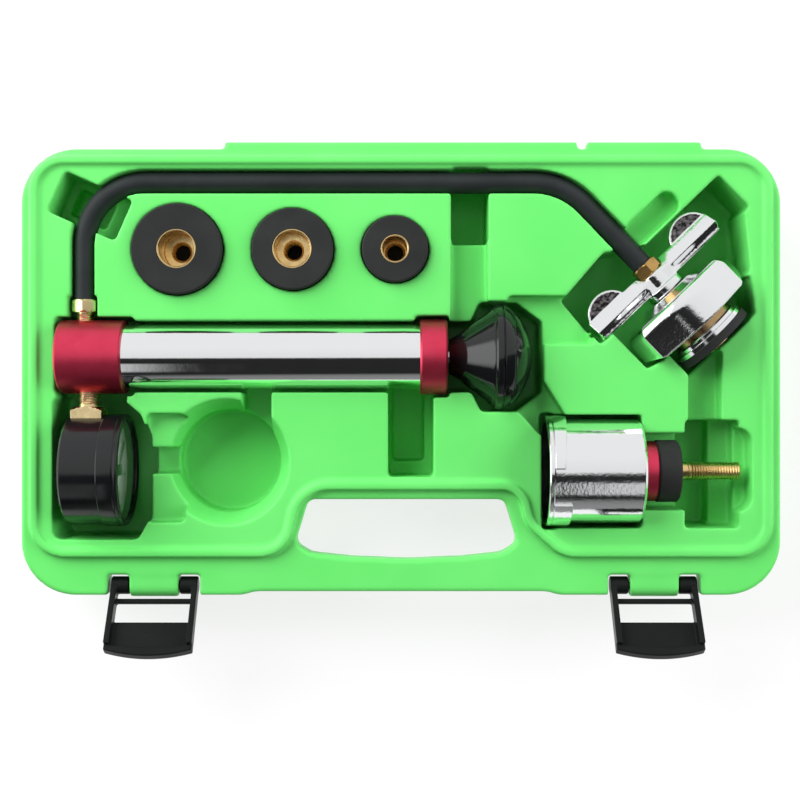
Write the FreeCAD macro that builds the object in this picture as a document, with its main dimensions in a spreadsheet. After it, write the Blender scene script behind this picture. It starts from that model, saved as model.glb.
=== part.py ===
"""Radiator pressure tester in its moulded case base.

Millimetres, +Z up, origin at the centre of the case's underside.
+X runs along the pump from its head to its knob, +Y towards the hinge side of the case.
Every long piece lies in one level plane, mid_z, half in the case base.
"""
import FreeCAD, Part
import math
import os

import Sketcher

Vector = FreeCAD.Vector
Rotation = FreeCAD.Rotation
Placement = FreeCAD.Placement

doc = FreeCAD.newDocument("radiator_pressure_tester")

# ---------------------------------------------------------------- driving dimensions

SIZES = {
    # case base
    "tray_length": 420.4, "tray_width": 247.0, "tray_corner": 30.0, "wall": 2.2,
    "front_step": 2.0, "front_step_x": 84.0, "front_ramp": 6.0,
    "pan_margin": 4.2, "side_margin": 5.4, "front_rail": 21.5, "pan_corner": 19.0, "pan_edge": 6.0,
    "plateau_z": 46.0, "bead_height": 2.0, "bead_width": 4.6,
    "flange_top": 44.0, "flange_thick": 6.0, "rail_thick": 14.0,
    "handle_x": 3.0, "handle_top": 109.0, "handle_bottom": 124.0, "handle_depth": 29.5,
    "handle_sag": 5.0, "handle_corner": 5.7, "grip_wall": 5.6, "grip_rail": 19.5,
    "recess_x": -96.6, "recess_y": -49.6, "recess_r": 29.0, "recess_rim_r": 35.0,
    "recess_floor": 11.0, "recess_slope": 29.0,
    "latch_pitch": 277.5, "latch_shift": 1.75,
    "hinge_reach": 3.9, "hinge_length": 63.5, "hinge_x": 134.7, "hinge_pin": 2.4,
    "hinge_strip": 195.0, "hinge_drop": 8.0,
    # heights and gaps shared by everything that lies in the case
    "mid_z": 39.0, "seat_gap": 0.3, "cradle_gap": 1.7, "snug_gap": 1.5, "fit": 0.05,
    # pump
    "pump_x": -189.0, "pump_y": 8.5, "head_od": 41.0, "head_len": 36.0, "head_socket": 8.0,
    "port_x": 13.2, "gauge_port": 15.4, "valve_bore": 10.0, "valve_end": 6.5, "seat_len": 6.0, "seat_hole": 3.5,
    "ball_od": 7.0, "ball_lift": 0.8, "spring_od": 6.4, "spring_id": 4.4, "washer_thick": 1.5,
    "tube_od": 36.0, "tube_wall": 1.5, "tube_shown": 163.5,
    "cap_od": 42.0, "cap_len": 15.0, "cap_socket": 9.0, "cap_edge": 1.0,
    "bush_od": 14.0, "bush_flange": 17.0, "rod_od": 8.0, "piston_len": 18.0,
    "piston_gap": 3.0, "piston_play": 0.4, "seal_width": 3.6, "seal_depth": 3.0,
    "knob_gap": 1.2, "knob_neck": 20.0, "knob_od": 58.6, "knob_len": 46.2,
    "rod_grip": 22.0,
    # gauge
    "gauge_y": -54.4, "gauge_back": 4.6, "gauge_od": 60.4, "gauge_depth": 32.7,
    "case_wall": 1.2, "bezel_od": 62.0, "bezel_len": 12.0, "bezel_lip": 1.6,
    "lens_thick": 2.0, "lens_bezel": 3.0, "dial_thick": 0.6, "dial_depth": 9.0,
    "needle_len": 21.0, "needle_tail": 7.0, "needle_thick": 0.5, "arbor_od": 1.6,
    "stem_square": 17.0, "stem_block": 9.4, "stem_sink": 3.2, "stem_thread": 12.0, "stem_bite": 9.0,
    "bourdon_radius": 20.0, "bourdon_tube": 4.6, "bourdon_arc": 285.0, "boss_angle": 20.0,
    "sector_radius": 15.0, "sector_span": 56.0, "sector_lag": 13.5, "zero_angle": 45.0,
    "movement_width": 14.0, "movement_thick": 1.0, "movement_gap": 3.2,
    # hose and its end fittings
    "hose_od": 12.0, "hose_id": 6.0, "nipple_hex": 13.0, "nipple_hex_len": 7.0,
    "nipple_thread": 9.0, "nipple_shown": 4.2, "nipple_bite": 9.5, "barb_len": 12.0,
    "air_bore": 3.0, "hose_back_y": 105.3, "bend_head": 34.0, "bend_cap": 41.0,
    "channel_gap": 0.6,
    # radiator cap adapter at the hose's far end
    "adapter_x": 134.3, "adapter_y": 59.6, "adapter_angle": 46.0,
    "clamp_hex": 14.0, "clamp_hex_len": 6.6, "stem_od": 12.0, "wing_play": 0.2,
    "wing_span": 89.6, "wing_back": 5.5, "wing_front": 15.6, "wing_beam": 12.6,
    "wing_rib": 15.0, "wing_plate": 4.0, "lobe_od": 27.2, "wing_hub": 17.0, "wing_collar": 24.0,
    "wing_hub_end": 20.0, "shell_start": 20.4, "dome_rise": 3.4, "dome_od": 38.0,
    "shell_len": 24.2, "shell_od": 56.0, "shell_wall": 2.2, "shell_edge": 2.0,
    "shell_ears": 73.0, "ear_root": 25.0, "ear_crest": 60.0, "ear_height": 32.0,
    "ear_cut": 4.4, "plate_travel": 4.0,
    "cup_start": 42.0, "cup_od": 38.0, "cup_len": 7.0, "cup_wall": 1.4,
    "plate_step": 2.6, "step_od": 41.2, "plate_od": 44.5, "plate_thick": 5.2,
    "seal_od": 45.5, "seal_thick": 4.6,
    "retainer_od": 16.0, "retainer_thick": 2.4,
    # filler neck adapter
    "neck_x": 79.8, "neck_y": -55.0, "neck_od": 58.0, "neck_wall": 2.0, "neck_len": 52.8,
    "lip_od": 61.6, "lip_len": 3.0, "cam_start": 6.0, "cam_len": 8.5, "cam_rise": 5.0,
    "cam_gap": 20.0, "cam_turn": 35.0,
    "base_thick": 3.0, "collar_od": 33.5, "collar_len": 8.6,
    "bung_od": 34.4, "bung_len": 12.4, "shoulder_od": 11.4, "shoulder_len": 5.8,
    "stud_od": 10.0, "stud_len": 28.8, "stud_bore": 4.0, "nut_flats": 17.0,
    "nut_thick": 4.0, "thread_play": 0.05,
    # expanding rubber stoppers
    "stopper_y": 67.6, "stopper_height": 32.0, "stopper_top": 50.0, "stopper_gap": 0.5,
    "stopper_floor": 3.0, "bush_wall": 1.0, "large_x": -123.4, "large_od": 50.0, "large_bore": 19.4,
    "large_deep": 20.0, "medium_x": -59.8, "medium_od": 45.0, "medium_bore": 19.4,
    "medium_deep": 12.0, "small_x": -3.3, "small_od": 36.6, "small_bore": 13.4,
    "small_deep": 22.0,
    # latches
    "latch_width": 48.0, "latch_len": 44.0, "latch_angle": 36.0, "latch_arm": 3.2,
    "latch_depth": 8.0, "latch_plate": 2.6, "latch_window": 22.0, "latch_bar": 2.6,
    "latch_lip": 5.0, "pivot_drop": 6.4, "pivot_inset": 4.7, "knuckle_width": 27.0,
    "knuckle_od": 12.4, "pin_od": 4.0, "pin_bite": 9.0, "latch_gap": 1.6,
    "bar_gap": 1.3,
}

sheet = doc.addObject("Spreadsheet::Sheet", "Sizes")
for row, (alias, number) in enumerate(SIZES.items(), start=1):
    sheet.set("A%d" % row, alias)
    sheet.set("B%d" % row, str(number))
    sheet.setAlias("B%d" % row, alias)
doc.recompute()


# The knob's turned face from its tip to its neck, as shares of its length and rim radius.
KNOB_FACE = ((0.985, 0.20), (0.94, 0.40), (0.87, 0.62), (0.79, 0.82), (0.72, 0.94), (0.65, 1.0),
             (0.54, 1.0), (0.46, 0.95), (0.27, 0.66), (0.10, 0.38))

# Straight wells of the case: left, right, front and back edge, corner radius and floor.
WELLS = {
    "back": (27.6, 48.5, 71.1, 113.0, 2.0, 10.0),
    "back_channel": (27.6, 48.0, 26.0, 72.0, 2.0, 36.0),
    "middle": (-7.2, 18.0, -58.0, -8.5, 2.0, 15.0),
    "middle_deep": (-5.2, 13.0, -50.3, -8.5, 2.0, 8.0),
    "tube": (-87.8, -71.7, -35.4, -8.5, 2.0, 20.7),
    "recess_channel": (-141.0, -112.5, -56.7, -42.0, 2.0, 20.7),
    "saddle": (-140.5, -119.0, -83.0, -23.0, 3.0, 38.0),
}

# Slanting wells of the case: the outline's corners, the corner radius and the floor.
SLANTED_WELLS = {
    "knob_front": ([(64.0, -21.0), (78.0, -36.0), (91.0, -24.0), (77.0, -2.0)], 2.0, 33.0),
    "step": ([(57.4, 42.0), (74.0, 15.4), (108.5, 15.4), (90.5, 42.0)], 2.0, 37.0),
}


class Size:
    """A length that carries both its number and the sheet formula it comes from."""

    def __init__(self, value, text):
        self.value = float(value)
        self.text = text

    def __float__(self):
        return self.value

    def __add__(self, other):
        other = as_size(other)
        return Size(self.value + other.value, "(%s + %s)" % (self.text, other.text))

    def __sub__(self, other):
        other = as_size(other)
        return Size(self.value - other.value, "(%s - %s)" % (self.text, other.text))

    def __mul__(self, factor):
        factor = as_size(factor)
        return Size(self.value * factor.value, "(%s * %s)" % (self.text, factor.text))

    def __truediv__(self, factor):
        factor = as_size(factor)
        return Size(self.value / factor.value, "(%s / %s)" % (self.text, factor.text))

    def __neg__(self):
        return Size(-self.value, "(0 - %s)" % self.text)

    def __radd__(self, other):
        return as_size(other) + self

    def __rsub__(self, other):
        return as_size(other) - self

    def __rmul__(self, other):
        return as_size(other) * self


def as_size(value):
    return value if isinstance(value, Size) else Size(value, "%.9g" % value)


class Sheet:
    """Every cell of the sheet as a Size, read by its alias."""

    def __getattr__(self, alias):
        return Size(sheet.get(alias), "Sizes." + alias)


S = Sheet()
ZERO = Size(0, "0")

# ---------------------------------------------------------------- construction helpers

AXIS_X = Vector(1, 0, 0)
AXIS_Y = Vector(0, 1, 0)
AXIS_Z = Vector(0, 0, 1)
ALONG_X = Rotation()
ALONG_MINUS_Y = Rotation(AXIS_Z, -90)
ALONG_Z = Rotation(AXIS_Y, -90)

# Turns that bring a shape's own +Z axis round to these directions.
Z_TO_X = Rotation(AXIS_Y, 90)
Z_TO_Y = Rotation(AXIS_X, -90)
Z_TO_MINUS_Y = Rotation(AXIS_X, 90)

finished = []


def keep(thing, label):
    """Names a finished sub-part, which is written to its own file at the end."""
    thing.Label = label
    finished.append(thing)
    return thing


def put(thing, x=ZERO, y=ZERO, z=ZERO, turn=ALONG_X):
    """Places an object, with its three coordinates bound to the sheet."""
    x, y, z = as_size(x), as_size(y), as_size(z)
    thing.Placement = Placement(Vector(float(x), float(y), float(z)), turn)
    thing.setExpression("Placement.Base.x", x.text)
    thing.setExpression("Placement.Base.y", y.text)
    thing.setExpression("Placement.Base.z", z.text)
    return thing


def origin_plane(body, role):
    return next(f for f in body.Origin.OriginFeatures if f.Role == role)


def profile_sketch(body, name, points):
    """A closed polyline whose every corner is dimensioned from the sketch's origin."""
    sketch = body.newObject("Sketcher::SketchObject", name)
    sketch.AttachmentSupport = [(origin_plane(body, "XY_Plane"), "")]
    sketch.MapMode = "FlatFace"
    corners = [Vector(float(along), float(out), 0) for along, out in points]
    count = len(corners)
    for start, end in zip(corners, corners[1:] + corners[:1]):
        sketch.addGeometry(Part.LineSegment(start, end), False)
    for index in range(count):
        sketch.addConstraint(Sketcher.Constraint("Coincident", index, 2, (index + 1) % count, 1))
    for index, (along, out) in enumerate(points):
        for kind, size in (("DistanceX", as_size(along)), ("DistanceY", as_size(out))):
            number = sketch.addConstraint(Sketcher.Constraint(kind, -1, 1, index, 1, float(size)))
            sketch.setExpression("Constraints[%d]" % number, size.text)
    return sketch


def turned(name, points):
    """A body of revolution about its own X axis from (along, radius) corners."""
    body = doc.addObject("PartDesign::Body", name)
    sketch = profile_sketch(body, name + "_profile", points)
    revolution = body.newObject("PartDesign::Revolution", name + "_turned")
    revolution.Profile = sketch
    revolution.ReferenceAxis = (sketch, ["H_Axis"])
    revolution.Angle = 360
    return body


def ring(name, start, end, outer, inner):
    """A plain turned ring: two faces along X, an outer and an inner radius."""
    return turned(name, [(start, inner), (end, inner), (end, outer), (start, outer)])


def rod(name, start, end, radius):
    return turned(name, [(start, ZERO), (end, ZERO), (end, radius), (start, radius)])


def block(name, x, y, z, length, width, height):
    """A box with its low corner at x, y, z."""
    box = doc.addObject("Part::Box", name)
    for side, size in (("Length", length), ("Width", width), ("Height", height)):
        size = as_size(size)
        setattr(box, side, float(size))
        box.setExpression(side, size.text)
    return put(box, x, y, z)


def cylinder(name, x, y, z, radius, height, turn=ALONG_X):
    """A cylinder whose axis is +Z before it is turned."""
    round_bar = doc.addObject("Part::Cylinder", name)
    for side, size in (("Radius", radius), ("Height", height)):
        size = as_size(size)
        setattr(round_bar, side, float(size))
        round_bar.setExpression(side, size.text)
    return put(round_bar, x, y, z, turn)


def hexagon(name, across_flats, start, end):
    """A hexagonal bar along X, with two of its flats level."""
    prism = doc.addObject("Part::Prism", name)
    prism.Polygon = 6
    corner_radius = across_flats / (2 * math.cos(math.pi / 6))
    for side, size in (("Circumradius", corner_radius), ("Height", end - start)):
        setattr(prism, side, float(size))
        prism.setExpression(side, size.text)
    return put(prism, start, turn=Z_TO_X)


def joined(name, pieces):
    fuse = doc.addObject("Part::MultiFuse", name)
    fuse.Shapes = pieces
    return fuse


def cut_away(name, base, tools):
    """The base less its tools."""
    cut = doc.addObject("Part::Cut", name)
    cut.Base = base
    cut.Tool = tools[0] if len(tools) == 1 else joined(name + "_tools", tools)
    return cut


def shaped(name, shape):
    feature = doc.addObject("Part::Feature", name)
    feature.Shape = shape
    return feature


# ---------------------------------------------------------------- pump

head_r = S.head_od / 2
tube_r = S.tube_od / 2
tube_inner_r = tube_r - S.tube_wall
socket_floor = S.head_len - S.head_socket
tube_start = socket_floor + S.washer_thick
cap_face = S.head_len + S.tube_shown
tube_end = cap_face + S.cap_socket
cap_end = cap_face + S.cap_len
cap_r = S.cap_od / 2
rod_r = S.rod_od / 2
bush_r = S.bush_od / 2
mid_z = S.mid_z
port_x = S.pump_x + S.port_x
gauge_port_x = S.pump_x + S.gauge_port


def on_pump(thing):
    return put(thing, S.pump_x, S.pump_y, mid_z)


def make_head():
    """Red head: tube socket, valve chamber and one threaded port on each side."""
    chamber_r = S.valve_bore / 2
    chamfer = S.cap_edge
    blank = turned("pump_head_blank", [
        (ZERO, ZERO), (S.valve_end, ZERO), (S.valve_end, chamber_r), (socket_floor, chamber_r),
        (socket_floor, tube_r + S.fit), (S.head_len, tube_r + S.fit),
        (S.head_len, head_r - chamfer / 2), (S.head_len - chamfer / 2, head_r),
        (chamfer, head_r), (ZERO, head_r - chamfer)])
    on_pump(blank)
    hose_port = cylinder("hose_port", port_x, S.pump_y + head_r - S.nipple_bite - S.fit, mid_z,
                         S.nipple_thread / 2 + S.fit, S.nipple_bite + head_r, Z_TO_Y)
    hose_way = cylinder("hose_way", port_x, S.pump_y, mid_z, S.air_bore / 2, head_r, Z_TO_Y)
    gauge_port = cylinder("gauge_port", gauge_port_x, S.pump_y - head_r + S.stem_bite + S.fit, mid_z,
                          S.stem_thread / 2 + S.fit, S.stem_bite + head_r, Z_TO_MINUS_Y)
    gauge_way = cylinder("gauge_way", gauge_port_x, S.pump_y, mid_z, S.air_bore / 2, head_r,
                         Z_TO_MINUS_Y)
    tools = [hose_port, hose_way, gauge_port, gauge_way]
    keep(cut_away("pump_head", blank, tools), "pump_head")


def make_check_valve():
    """Brass seat screwed into the head, with a ball and a spring behind it."""
    seat_start = socket_floor - S.seat_len
    seat = ring("valve_seat", seat_start, socket_floor, S.valve_bore / 2 - S.fit,
                S.seat_hole / 2)
    keep(on_pump(seat), "valve_seat")
    ball = doc.addObject("Part::Sphere", "check_ball")
    ball.Radius = float(S.ball_od / 2)
    ball.setExpression("Radius", (S.ball_od / 2).text)
    seat_rise = float(S.ball_od / 2) - math.sqrt(
        float(S.ball_od / 2) ** 2 - float(S.seat_hole / 2) ** 2)
    ball_x = seat_start - S.ball_od / 2 + seat_rise - S.fit
    keep(put(ball, S.pump_x + ball_x, S.pump_y, mid_z), "check_ball")
    spring_end = ball_x - S.ball_od / 2 + S.spring_id / 8
    spring = ring("check_spring", S.valve_end + S.ball_lift + S.fit, spring_end,
                  S.spring_od / 2, S.spring_id / 2)
    keep(on_pump(spring), "check_spring")


def make_barrel():
    """Tube washer, plated tube and red end cap."""
    washer = ring("tube_washer", socket_floor, tube_start, tube_r - S.fit, tube_inner_r - S.fit)
    keep(on_pump(washer), "tube_washer")
    tube = ring("pump_tube", tube_start, tube_end, tube_r, tube_inner_r)
    keep(on_pump(tube), "pump_tube")
    edge = S.cap_edge
    cap = turned("end_cap", [
        (cap_face, tube_r + S.fit), (tube_end, tube_r + S.fit), (tube_end, bush_r + S.fit),
        (cap_end, bush_r + S.fit), (cap_end, cap_r - edge), (cap_end - edge, cap_r),
        (cap_face + edge, cap_r), (cap_face, cap_r - edge)])
    keep(on_pump(cap), "end_cap")
    flange_start = tube_end - S.washer_thick
    bush = turned("rod_bush", [
        (flange_start, rod_r + S.fit), (cap_end, rod_r + S.fit), (cap_end, bush_r),
        (tube_end, bush_r), (tube_end, S.bush_flange / 2), (flange_start, S.bush_flange / 2)])
    keep(on_pump(bush), "rod_bush")


def make_plunger():
    """Rod, piston, its rubber cup seal and the knob: all that the hand pulls."""
    piston_start = tube_start + S.piston_gap
    piston_end = piston_start + S.piston_len
    piston_r = tube_inner_r - S.piston_play
    groove_start = piston_start + S.seal_width
    groove_end = groove_start + S.seal_width
    groove_r = piston_r - S.seal_depth
    piston = turned("piston", [
        (piston_start, rod_r + S.fit), (piston_end, rod_r + S.fit), (piston_end, piston_r),
        (groove_end, piston_r), (groove_end, groove_r), (groove_start, groove_r),
        (groove_start, piston_r), (piston_start, piston_r)])
    keep(on_pump(piston), "piston")
    seal = ring("piston_seal", groove_start + S.fit, groove_end - S.fit,
                tube_inner_r - S.fit, groove_r + S.fit)
    keep(on_pump(seal), "piston_seal")
    knob_start = cap_end + S.knob_gap
    rod_end = knob_start + S.rod_grip
    keep(on_pump(rod("piston_rod", piston_start, rod_end, rod_r)), "piston_rod")
    neck_r = S.knob_neck / 2
    rim_r = S.knob_od / 2
    length = S.knob_len
    face = [(knob_start + length * along, rim_r * out) for along, out in KNOB_FACE]
    knob = turned("knob", [
        (knob_start, rod_r + S.fit), (rod_end + S.fit, rod_r + S.fit), (rod_end + S.fit, ZERO),
        (knob_start + length, ZERO)] + face + [(knob_start, neck_r)])
    keep(on_pump(knob), "knob")


# ---------------------------------------------------------------- gauge

case_back = S.pump_x + S.gauge_back
case_r = S.gauge_od / 2
bezel_r = S.bezel_od / 2
bezel_inner_r = bezel_r - S.lens_bezel - S.case_wall
dial_x = S.gauge_depth - S.dial_depth
stem_top = S.pump_y - head_r + S.stem_bite
block_top = S.gauge_y + case_r + S.stem_block - S.case_wall - S.stem_sink
block_low = block_top - S.stem_block


def on_gauge(thing):
    return put(thing, case_back, S.gauge_y, mid_z)


def make_gauge_stem():
    """Brass square, its thread up into the head and the boss that holds the Bourdon tube."""
    half = S.stem_square / 2
    square = block("stem_square", gauge_port_x - half, block_low, mid_z - half,
                   S.stem_square, S.stem_block, S.stem_square)
    thread = cylinder("stem_thread", gauge_port_x, block_top, mid_z, S.stem_thread / 2,
                      stem_top - block_top, Z_TO_Y)
    boss_low = S.gauge_y + S.bourdon_radius - S.bourdon_tube
    boss = block("stem_boss", gauge_port_x - S.stem_thread / 4, boss_low,
                 mid_z - S.stem_thread / 2, S.stem_thread / 2, block_low - boss_low,
                 S.stem_thread)
    bore = cylinder("stem_bore", gauge_port_x, boss_low + S.bourdon_tube, mid_z,
                    S.air_bore / 2, stem_top - boss_low, Z_TO_Y)
    stem = cut_away("gauge_stem", joined("stem_solid", [square, thread, boss]), [bore])
    keep(stem, "gauge_stem")


def make_gauge_housing():
    """Pressed steel case with a notch for the stem, crimped bezel, lens and dial."""
    lens_front = S.gauge_depth - S.bezel_lip
    lens_back = lens_front - S.lens_thick
    front = S.gauge_depth - S.bezel_len
    inside_r = case_r - S.case_wall
    mouth = lens_back - S.seat_gap
    shell = turned("gauge_case_blank", [
        (ZERO, ZERO), (ZERO, case_r - S.case_wall), (S.case_wall, case_r), (mouth, case_r),
        (mouth, inside_r), (S.case_wall, inside_r), (S.case_wall, ZERO)])
    on_gauge(shell)
    notch_half = S.stem_square / 2 + S.seat_gap
    notch = block("stem_notch", gauge_port_x - notch_half, block_low - S.seat_gap,
                  mid_z - notch_half, notch_half * 2, S.gauge_od, notch_half * 2)
    boss_gap = S.stem_thread / 2 + S.seat_gap
    way = block("boss_notch", gauge_port_x - boss_gap / 2 - S.seat_gap, S.gauge_y,
                mid_z - boss_gap, boss_gap + S.seat_gap * 2, S.gauge_od, boss_gap * 2)
    keep(cut_away("gauge_case", shell, [notch, way]), "gauge_case")
    bezel = turned("gauge_bezel", [
        (front, case_r + S.fit), (lens_front, case_r + S.fit), (lens_front, bezel_inner_r),
        (S.gauge_depth, bezel_inner_r + 0.8), (S.gauge_depth, bezel_r - 1.2),
        (S.gauge_depth - 1.2, bezel_r), (front + 0.5, bezel_r), (front, bezel_r - 0.5)])
    keep(on_gauge(bezel), "gauge_bezel")
    lens = rod("gauge_lens", lens_back, lens_front, case_r - S.fit)
    keep(on_gauge(lens), "gauge_lens")
    dial = ring("gauge_dial", dial_x, dial_x + S.dial_thick, case_r - S.case_wall - S.fit,
                S.arbor_od / 2 + S.fit * 2)
    keep(on_gauge(dial), "gauge_dial")


def make_gauge_works():
    """Bourdon tube, movement plate with its posts, toothless sector and the needle."""
    bourdon = doc.addObject("Part::Torus", "gauge_bourdon")
    bourdon.Radius1 = float(S.bourdon_radius)
    bourdon.Radius2 = float(S.bourdon_tube / 2)
    bourdon.Angle3 = float(S.bourdon_arc)
    bourdon.setExpression("Radius1", S.bourdon_radius.text)
    bourdon.setExpression("Radius2", (S.bourdon_tube / 2).text)
    start = Z_TO_X.multiply(Rotation(AXIS_Z, 90.0 + float(S.boss_angle)))
    keep(put(bourdon, gauge_port_x, S.gauge_y, mid_z, start), "gauge_bourdon")

    works_x = dial_x - S.movement_gap - S.movement_thick
    half = S.movement_width / 2
    pivot_z = S.sector_radius + S.arbor_od
    back_plate = block("movement_back", case_back + works_x - S.movement_gap, S.gauge_y - half,
                       mid_z - pivot_z - 3.0, S.movement_thick, S.movement_width, pivot_z + 6.0)
    front_plate = block("movement_front", case_back + works_x, S.gauge_y - half,
                        mid_z - pivot_z - 3.0, S.movement_thick, S.movement_width,
                        pivot_z + 6.0)
    posts = []
    for side, offset in (("left", half - 2.0), ("right", -half)):
        posts.append(block("movement_post_" + side, case_back + works_x - S.movement_gap,
                           S.gauge_y + offset, mid_z + 1.0, S.movement_gap, 2.0, 2.0))
    foot = block("movement_foot", case_back + S.case_wall, S.gauge_y - 2.0,
                 mid_z - pivot_z / 2 - 4.0, works_x - S.movement_gap - S.case_wall, 4.0, 4.0)
    frame = joined("movement_frame", [back_plate, front_plate, foot] + posts)
    arbor_hole = cylinder("arbor_hole", case_back + works_x - S.movement_gap, S.gauge_y, mid_z,
                          S.arbor_od / 2 + S.fit, S.gauge_depth, Z_TO_X)
    sector_hole = cylinder("sector_hole", case_back + works_x - S.movement_gap, S.gauge_y,
                           mid_z - pivot_z, S.arbor_od / 2 + S.fit, S.gauge_depth, Z_TO_X)
    keep(cut_away("gauge_movement", frame, [arbor_hole, sector_hole]), "gauge_movement")

    sector_x = case_back + works_x - S.movement_gap / 2 - S.movement_thick / 4
    blade = doc.addObject("Part::Cylinder", "sector_blade")
    blade.Radius = float(S.sector_radius)
    blade.Height = float(S.movement_thick / 2)
    blade.Angle = float(S.sector_span)
    blade.setExpression("Radius", S.sector_radius.text)
    blade.setExpression("Height", (S.movement_thick / 2).text)
    put(blade, sector_x, S.gauge_y, mid_z - pivot_z,
        Z_TO_X.multiply(Rotation(AXIS_Z, 180.0 - float(S.sector_span / 2 + S.sector_lag))))
    pivot = cylinder("sector_pivot", case_back + works_x - S.movement_gap + S.fit, S.gauge_y,
                     mid_z - pivot_z, S.arbor_od / 2, S.movement_gap + S.movement_thick,
                     Z_TO_X)
    keep(joined("gauge_sector", [blade, pivot]), "gauge_sector")

    needle_x = dial_x + S.dial_thick + 1.0
    arbor = cylinder("needle_arbor", case_back + works_x - S.movement_gap + S.fit, S.gauge_y,
                     mid_z, S.arbor_od / 2, needle_x - works_x + S.movement_gap + 1.0, Z_TO_X)
    hub = cylinder("needle_hub", case_back + needle_x, S.gauge_y, mid_z, S.arbor_od * 2,
                   S.needle_thick * 3, Z_TO_X)
    width = S.arbor_od
    pointer = block("needle_pointer", ZERO, -S.needle_tail, -width / 2, S.needle_thick,
                    S.needle_len + S.needle_tail, width)
    rest_turn = Rotation(AXIS_X, -float(S.zero_angle))
    offset = rest_turn.multVec(Vector(0, -float(S.needle_tail), -float(width / 2)))
    pointer.Placement = Placement(Vector(0, 0, 0), rest_turn)
    put(pointer, case_back + needle_x, S.gauge_y + offset.y, mid_z + offset.z, rest_turn)
    keep(joined("gauge_needle", [arbor, hub, pointer]), "gauge_needle")


# ---------------------------------------------------------------- hose

hex_start_y = S.pump_y + head_r + S.nipple_shown
hose_start_y = hex_start_y + S.nipple_hex_len

def hose_path():
    """Up from the head, round a bend, along the back and down the adapter's axis."""
    down = Vector(math.cos(math.radians(S.adapter_angle.value)),
                  -math.sin(math.radians(S.adapter_angle.value)), 0)
    first = Vector(float(port_x), float(hose_start_y), float(mid_z))
    last = Vector(float(S.adapter_x), float(S.adapter_y), float(mid_z))
    run = float(S.hose_back_y - S.adapter_y) / -down.y
    corners = [first, Vector(first.x, float(S.hose_back_y), first.z), last - down * run, last]
    return rounded_path(corners, [float(S.bend_head), float(S.bend_cap)])


def rounded_path(corners, radii):
    """Straight runs joined by tangent arcs of the given radii."""
    edges = []
    here = corners[0]
    for before, corner, after, radius in zip(corners, corners[1:], corners[2:], radii):
        into = (corner - before).normalize()
        out = (after - corner).normalize()
        turn = into.getAngle(out)
        reach = radius * math.tan(turn / 2)
        start = corner - into * reach
        end = corner + out * reach
        chord_middle = (start + end) * 0.5
        outward = (corner - chord_middle).normalize()
        middle = chord_middle + outward * radius * (1 - math.cos(turn / 2))
        edges.append(Part.LineSegment(here, start).toShape())
        edges.append(Part.Arc(start, middle, end).toShape())
        here = end
    edges.append(Part.LineSegment(here, corners[-1]).toShape())
    return Part.Wire(edges)


def swept(path, profile_wire):
    """The profile swept along the path as one solid."""
    return path.makePipeShell([profile_wire], True, False)


def make_hose():
    """Reinforced rubber hose with its bore, swept along the moulded channel."""
    path = hose_path()
    print("hose length", round(path.Length, 1), "mm")
    start = path.OrderedVertexes[0].Point
    outer = Part.Wire(Part.makeCircle(float(S.hose_od / 2), start, AXIS_Y))
    inner = Part.Wire(Part.makeCircle(float(S.hose_id / 2), start, AXIS_Y))
    hose = swept(path, outer).cut(swept(path, inner))
    keep(shaped("hose", hose), "hose")


def hose_nipple(name, flats, hex_len, shown, bite):
    """Brass hose end: barb along -X, hexagon from x = 0, then a threaded spigot."""
    thread_r = S.nipple_thread / 2
    barb_r = S.hose_id / 2 - S.fit
    hexagonal = hexagon(name + "_hex", flats, ZERO, hex_len)
    spindle = turned(name + "_spindle", [
        (-S.barb_len, S.air_bore / 2), (hex_len + shown + bite, S.air_bore / 2),
        (hex_len + shown + bite, thread_r), (hex_len / 2, thread_r), (hex_len / 2, barb_r),
        (-S.barb_len, barb_r)])
    solid = joined(name + "_solid", [hexagonal, spindle])
    bore = cylinder(name + "_bore", -S.barb_len, ZERO, ZERO, S.air_bore / 2,
                    S.barb_len + hex_len + shown + bite, Z_TO_X)
    return cut_away(name, solid, [bore])


def make_hose_ends():
    at_head = hose_nipple("hose_nipple_head", S.nipple_hex, S.nipple_hex_len, S.nipple_shown,
                          S.nipple_bite)
    keep(put(at_head, port_x, hose_start_y, mid_z, ALONG_MINUS_Y), "hose_nipple_head")
    at_cap = hose_nipple("hose_nipple_cap", S.clamp_hex, S.clamp_hex_len, ZERO, S.nipple_bite)
    keep(on_adapter(at_cap), "hose_nipple_cap")


# ---------------------------------------------------------------- radiator cap adapter

adapter_turn = Rotation(AXIS_Z, -float(S.adapter_angle))


def on_adapter(thing):
    """Stands a piece built along +X on the adapter's slanting axis."""
    put(thing, S.adapter_x, S.adapter_y, mid_z, adapter_turn)
    return thing


stem_r = S.stem_od / 2
shell_end = S.shell_start + S.shell_len
shell_r = S.shell_od / 2
cup_end = S.cup_start + S.cup_len
plate_end = cup_end + S.plate_thick
seal_end = plate_end + S.seal_thick
stem_end = seal_end + S.retainer_thick
plate_edge = S.plate_step / 4


def make_cap_spindle():
    """Hollow spindle screwed on the hose end, with the retainer that holds the seal on."""
    start = S.clamp_hex_len + S.fit
    socket_end = start + S.nipple_bite
    spindle = turned("cap_spindle", [
        (start, S.nipple_thread / 2 + S.fit), (socket_end, S.nipple_thread / 2 + S.fit),
        (socket_end, S.air_bore / 2), (stem_end, S.air_bore / 2), (stem_end, stem_r),
        (start, stem_r)])
    keep(on_adapter(spindle), "cap_spindle")
    retainer = ring("cap_retainer", seal_end + S.fit, stem_end, S.retainer_od / 2,
                    stem_r + S.fit)
    keep(on_adapter(retainer), "cap_retainer")


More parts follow.
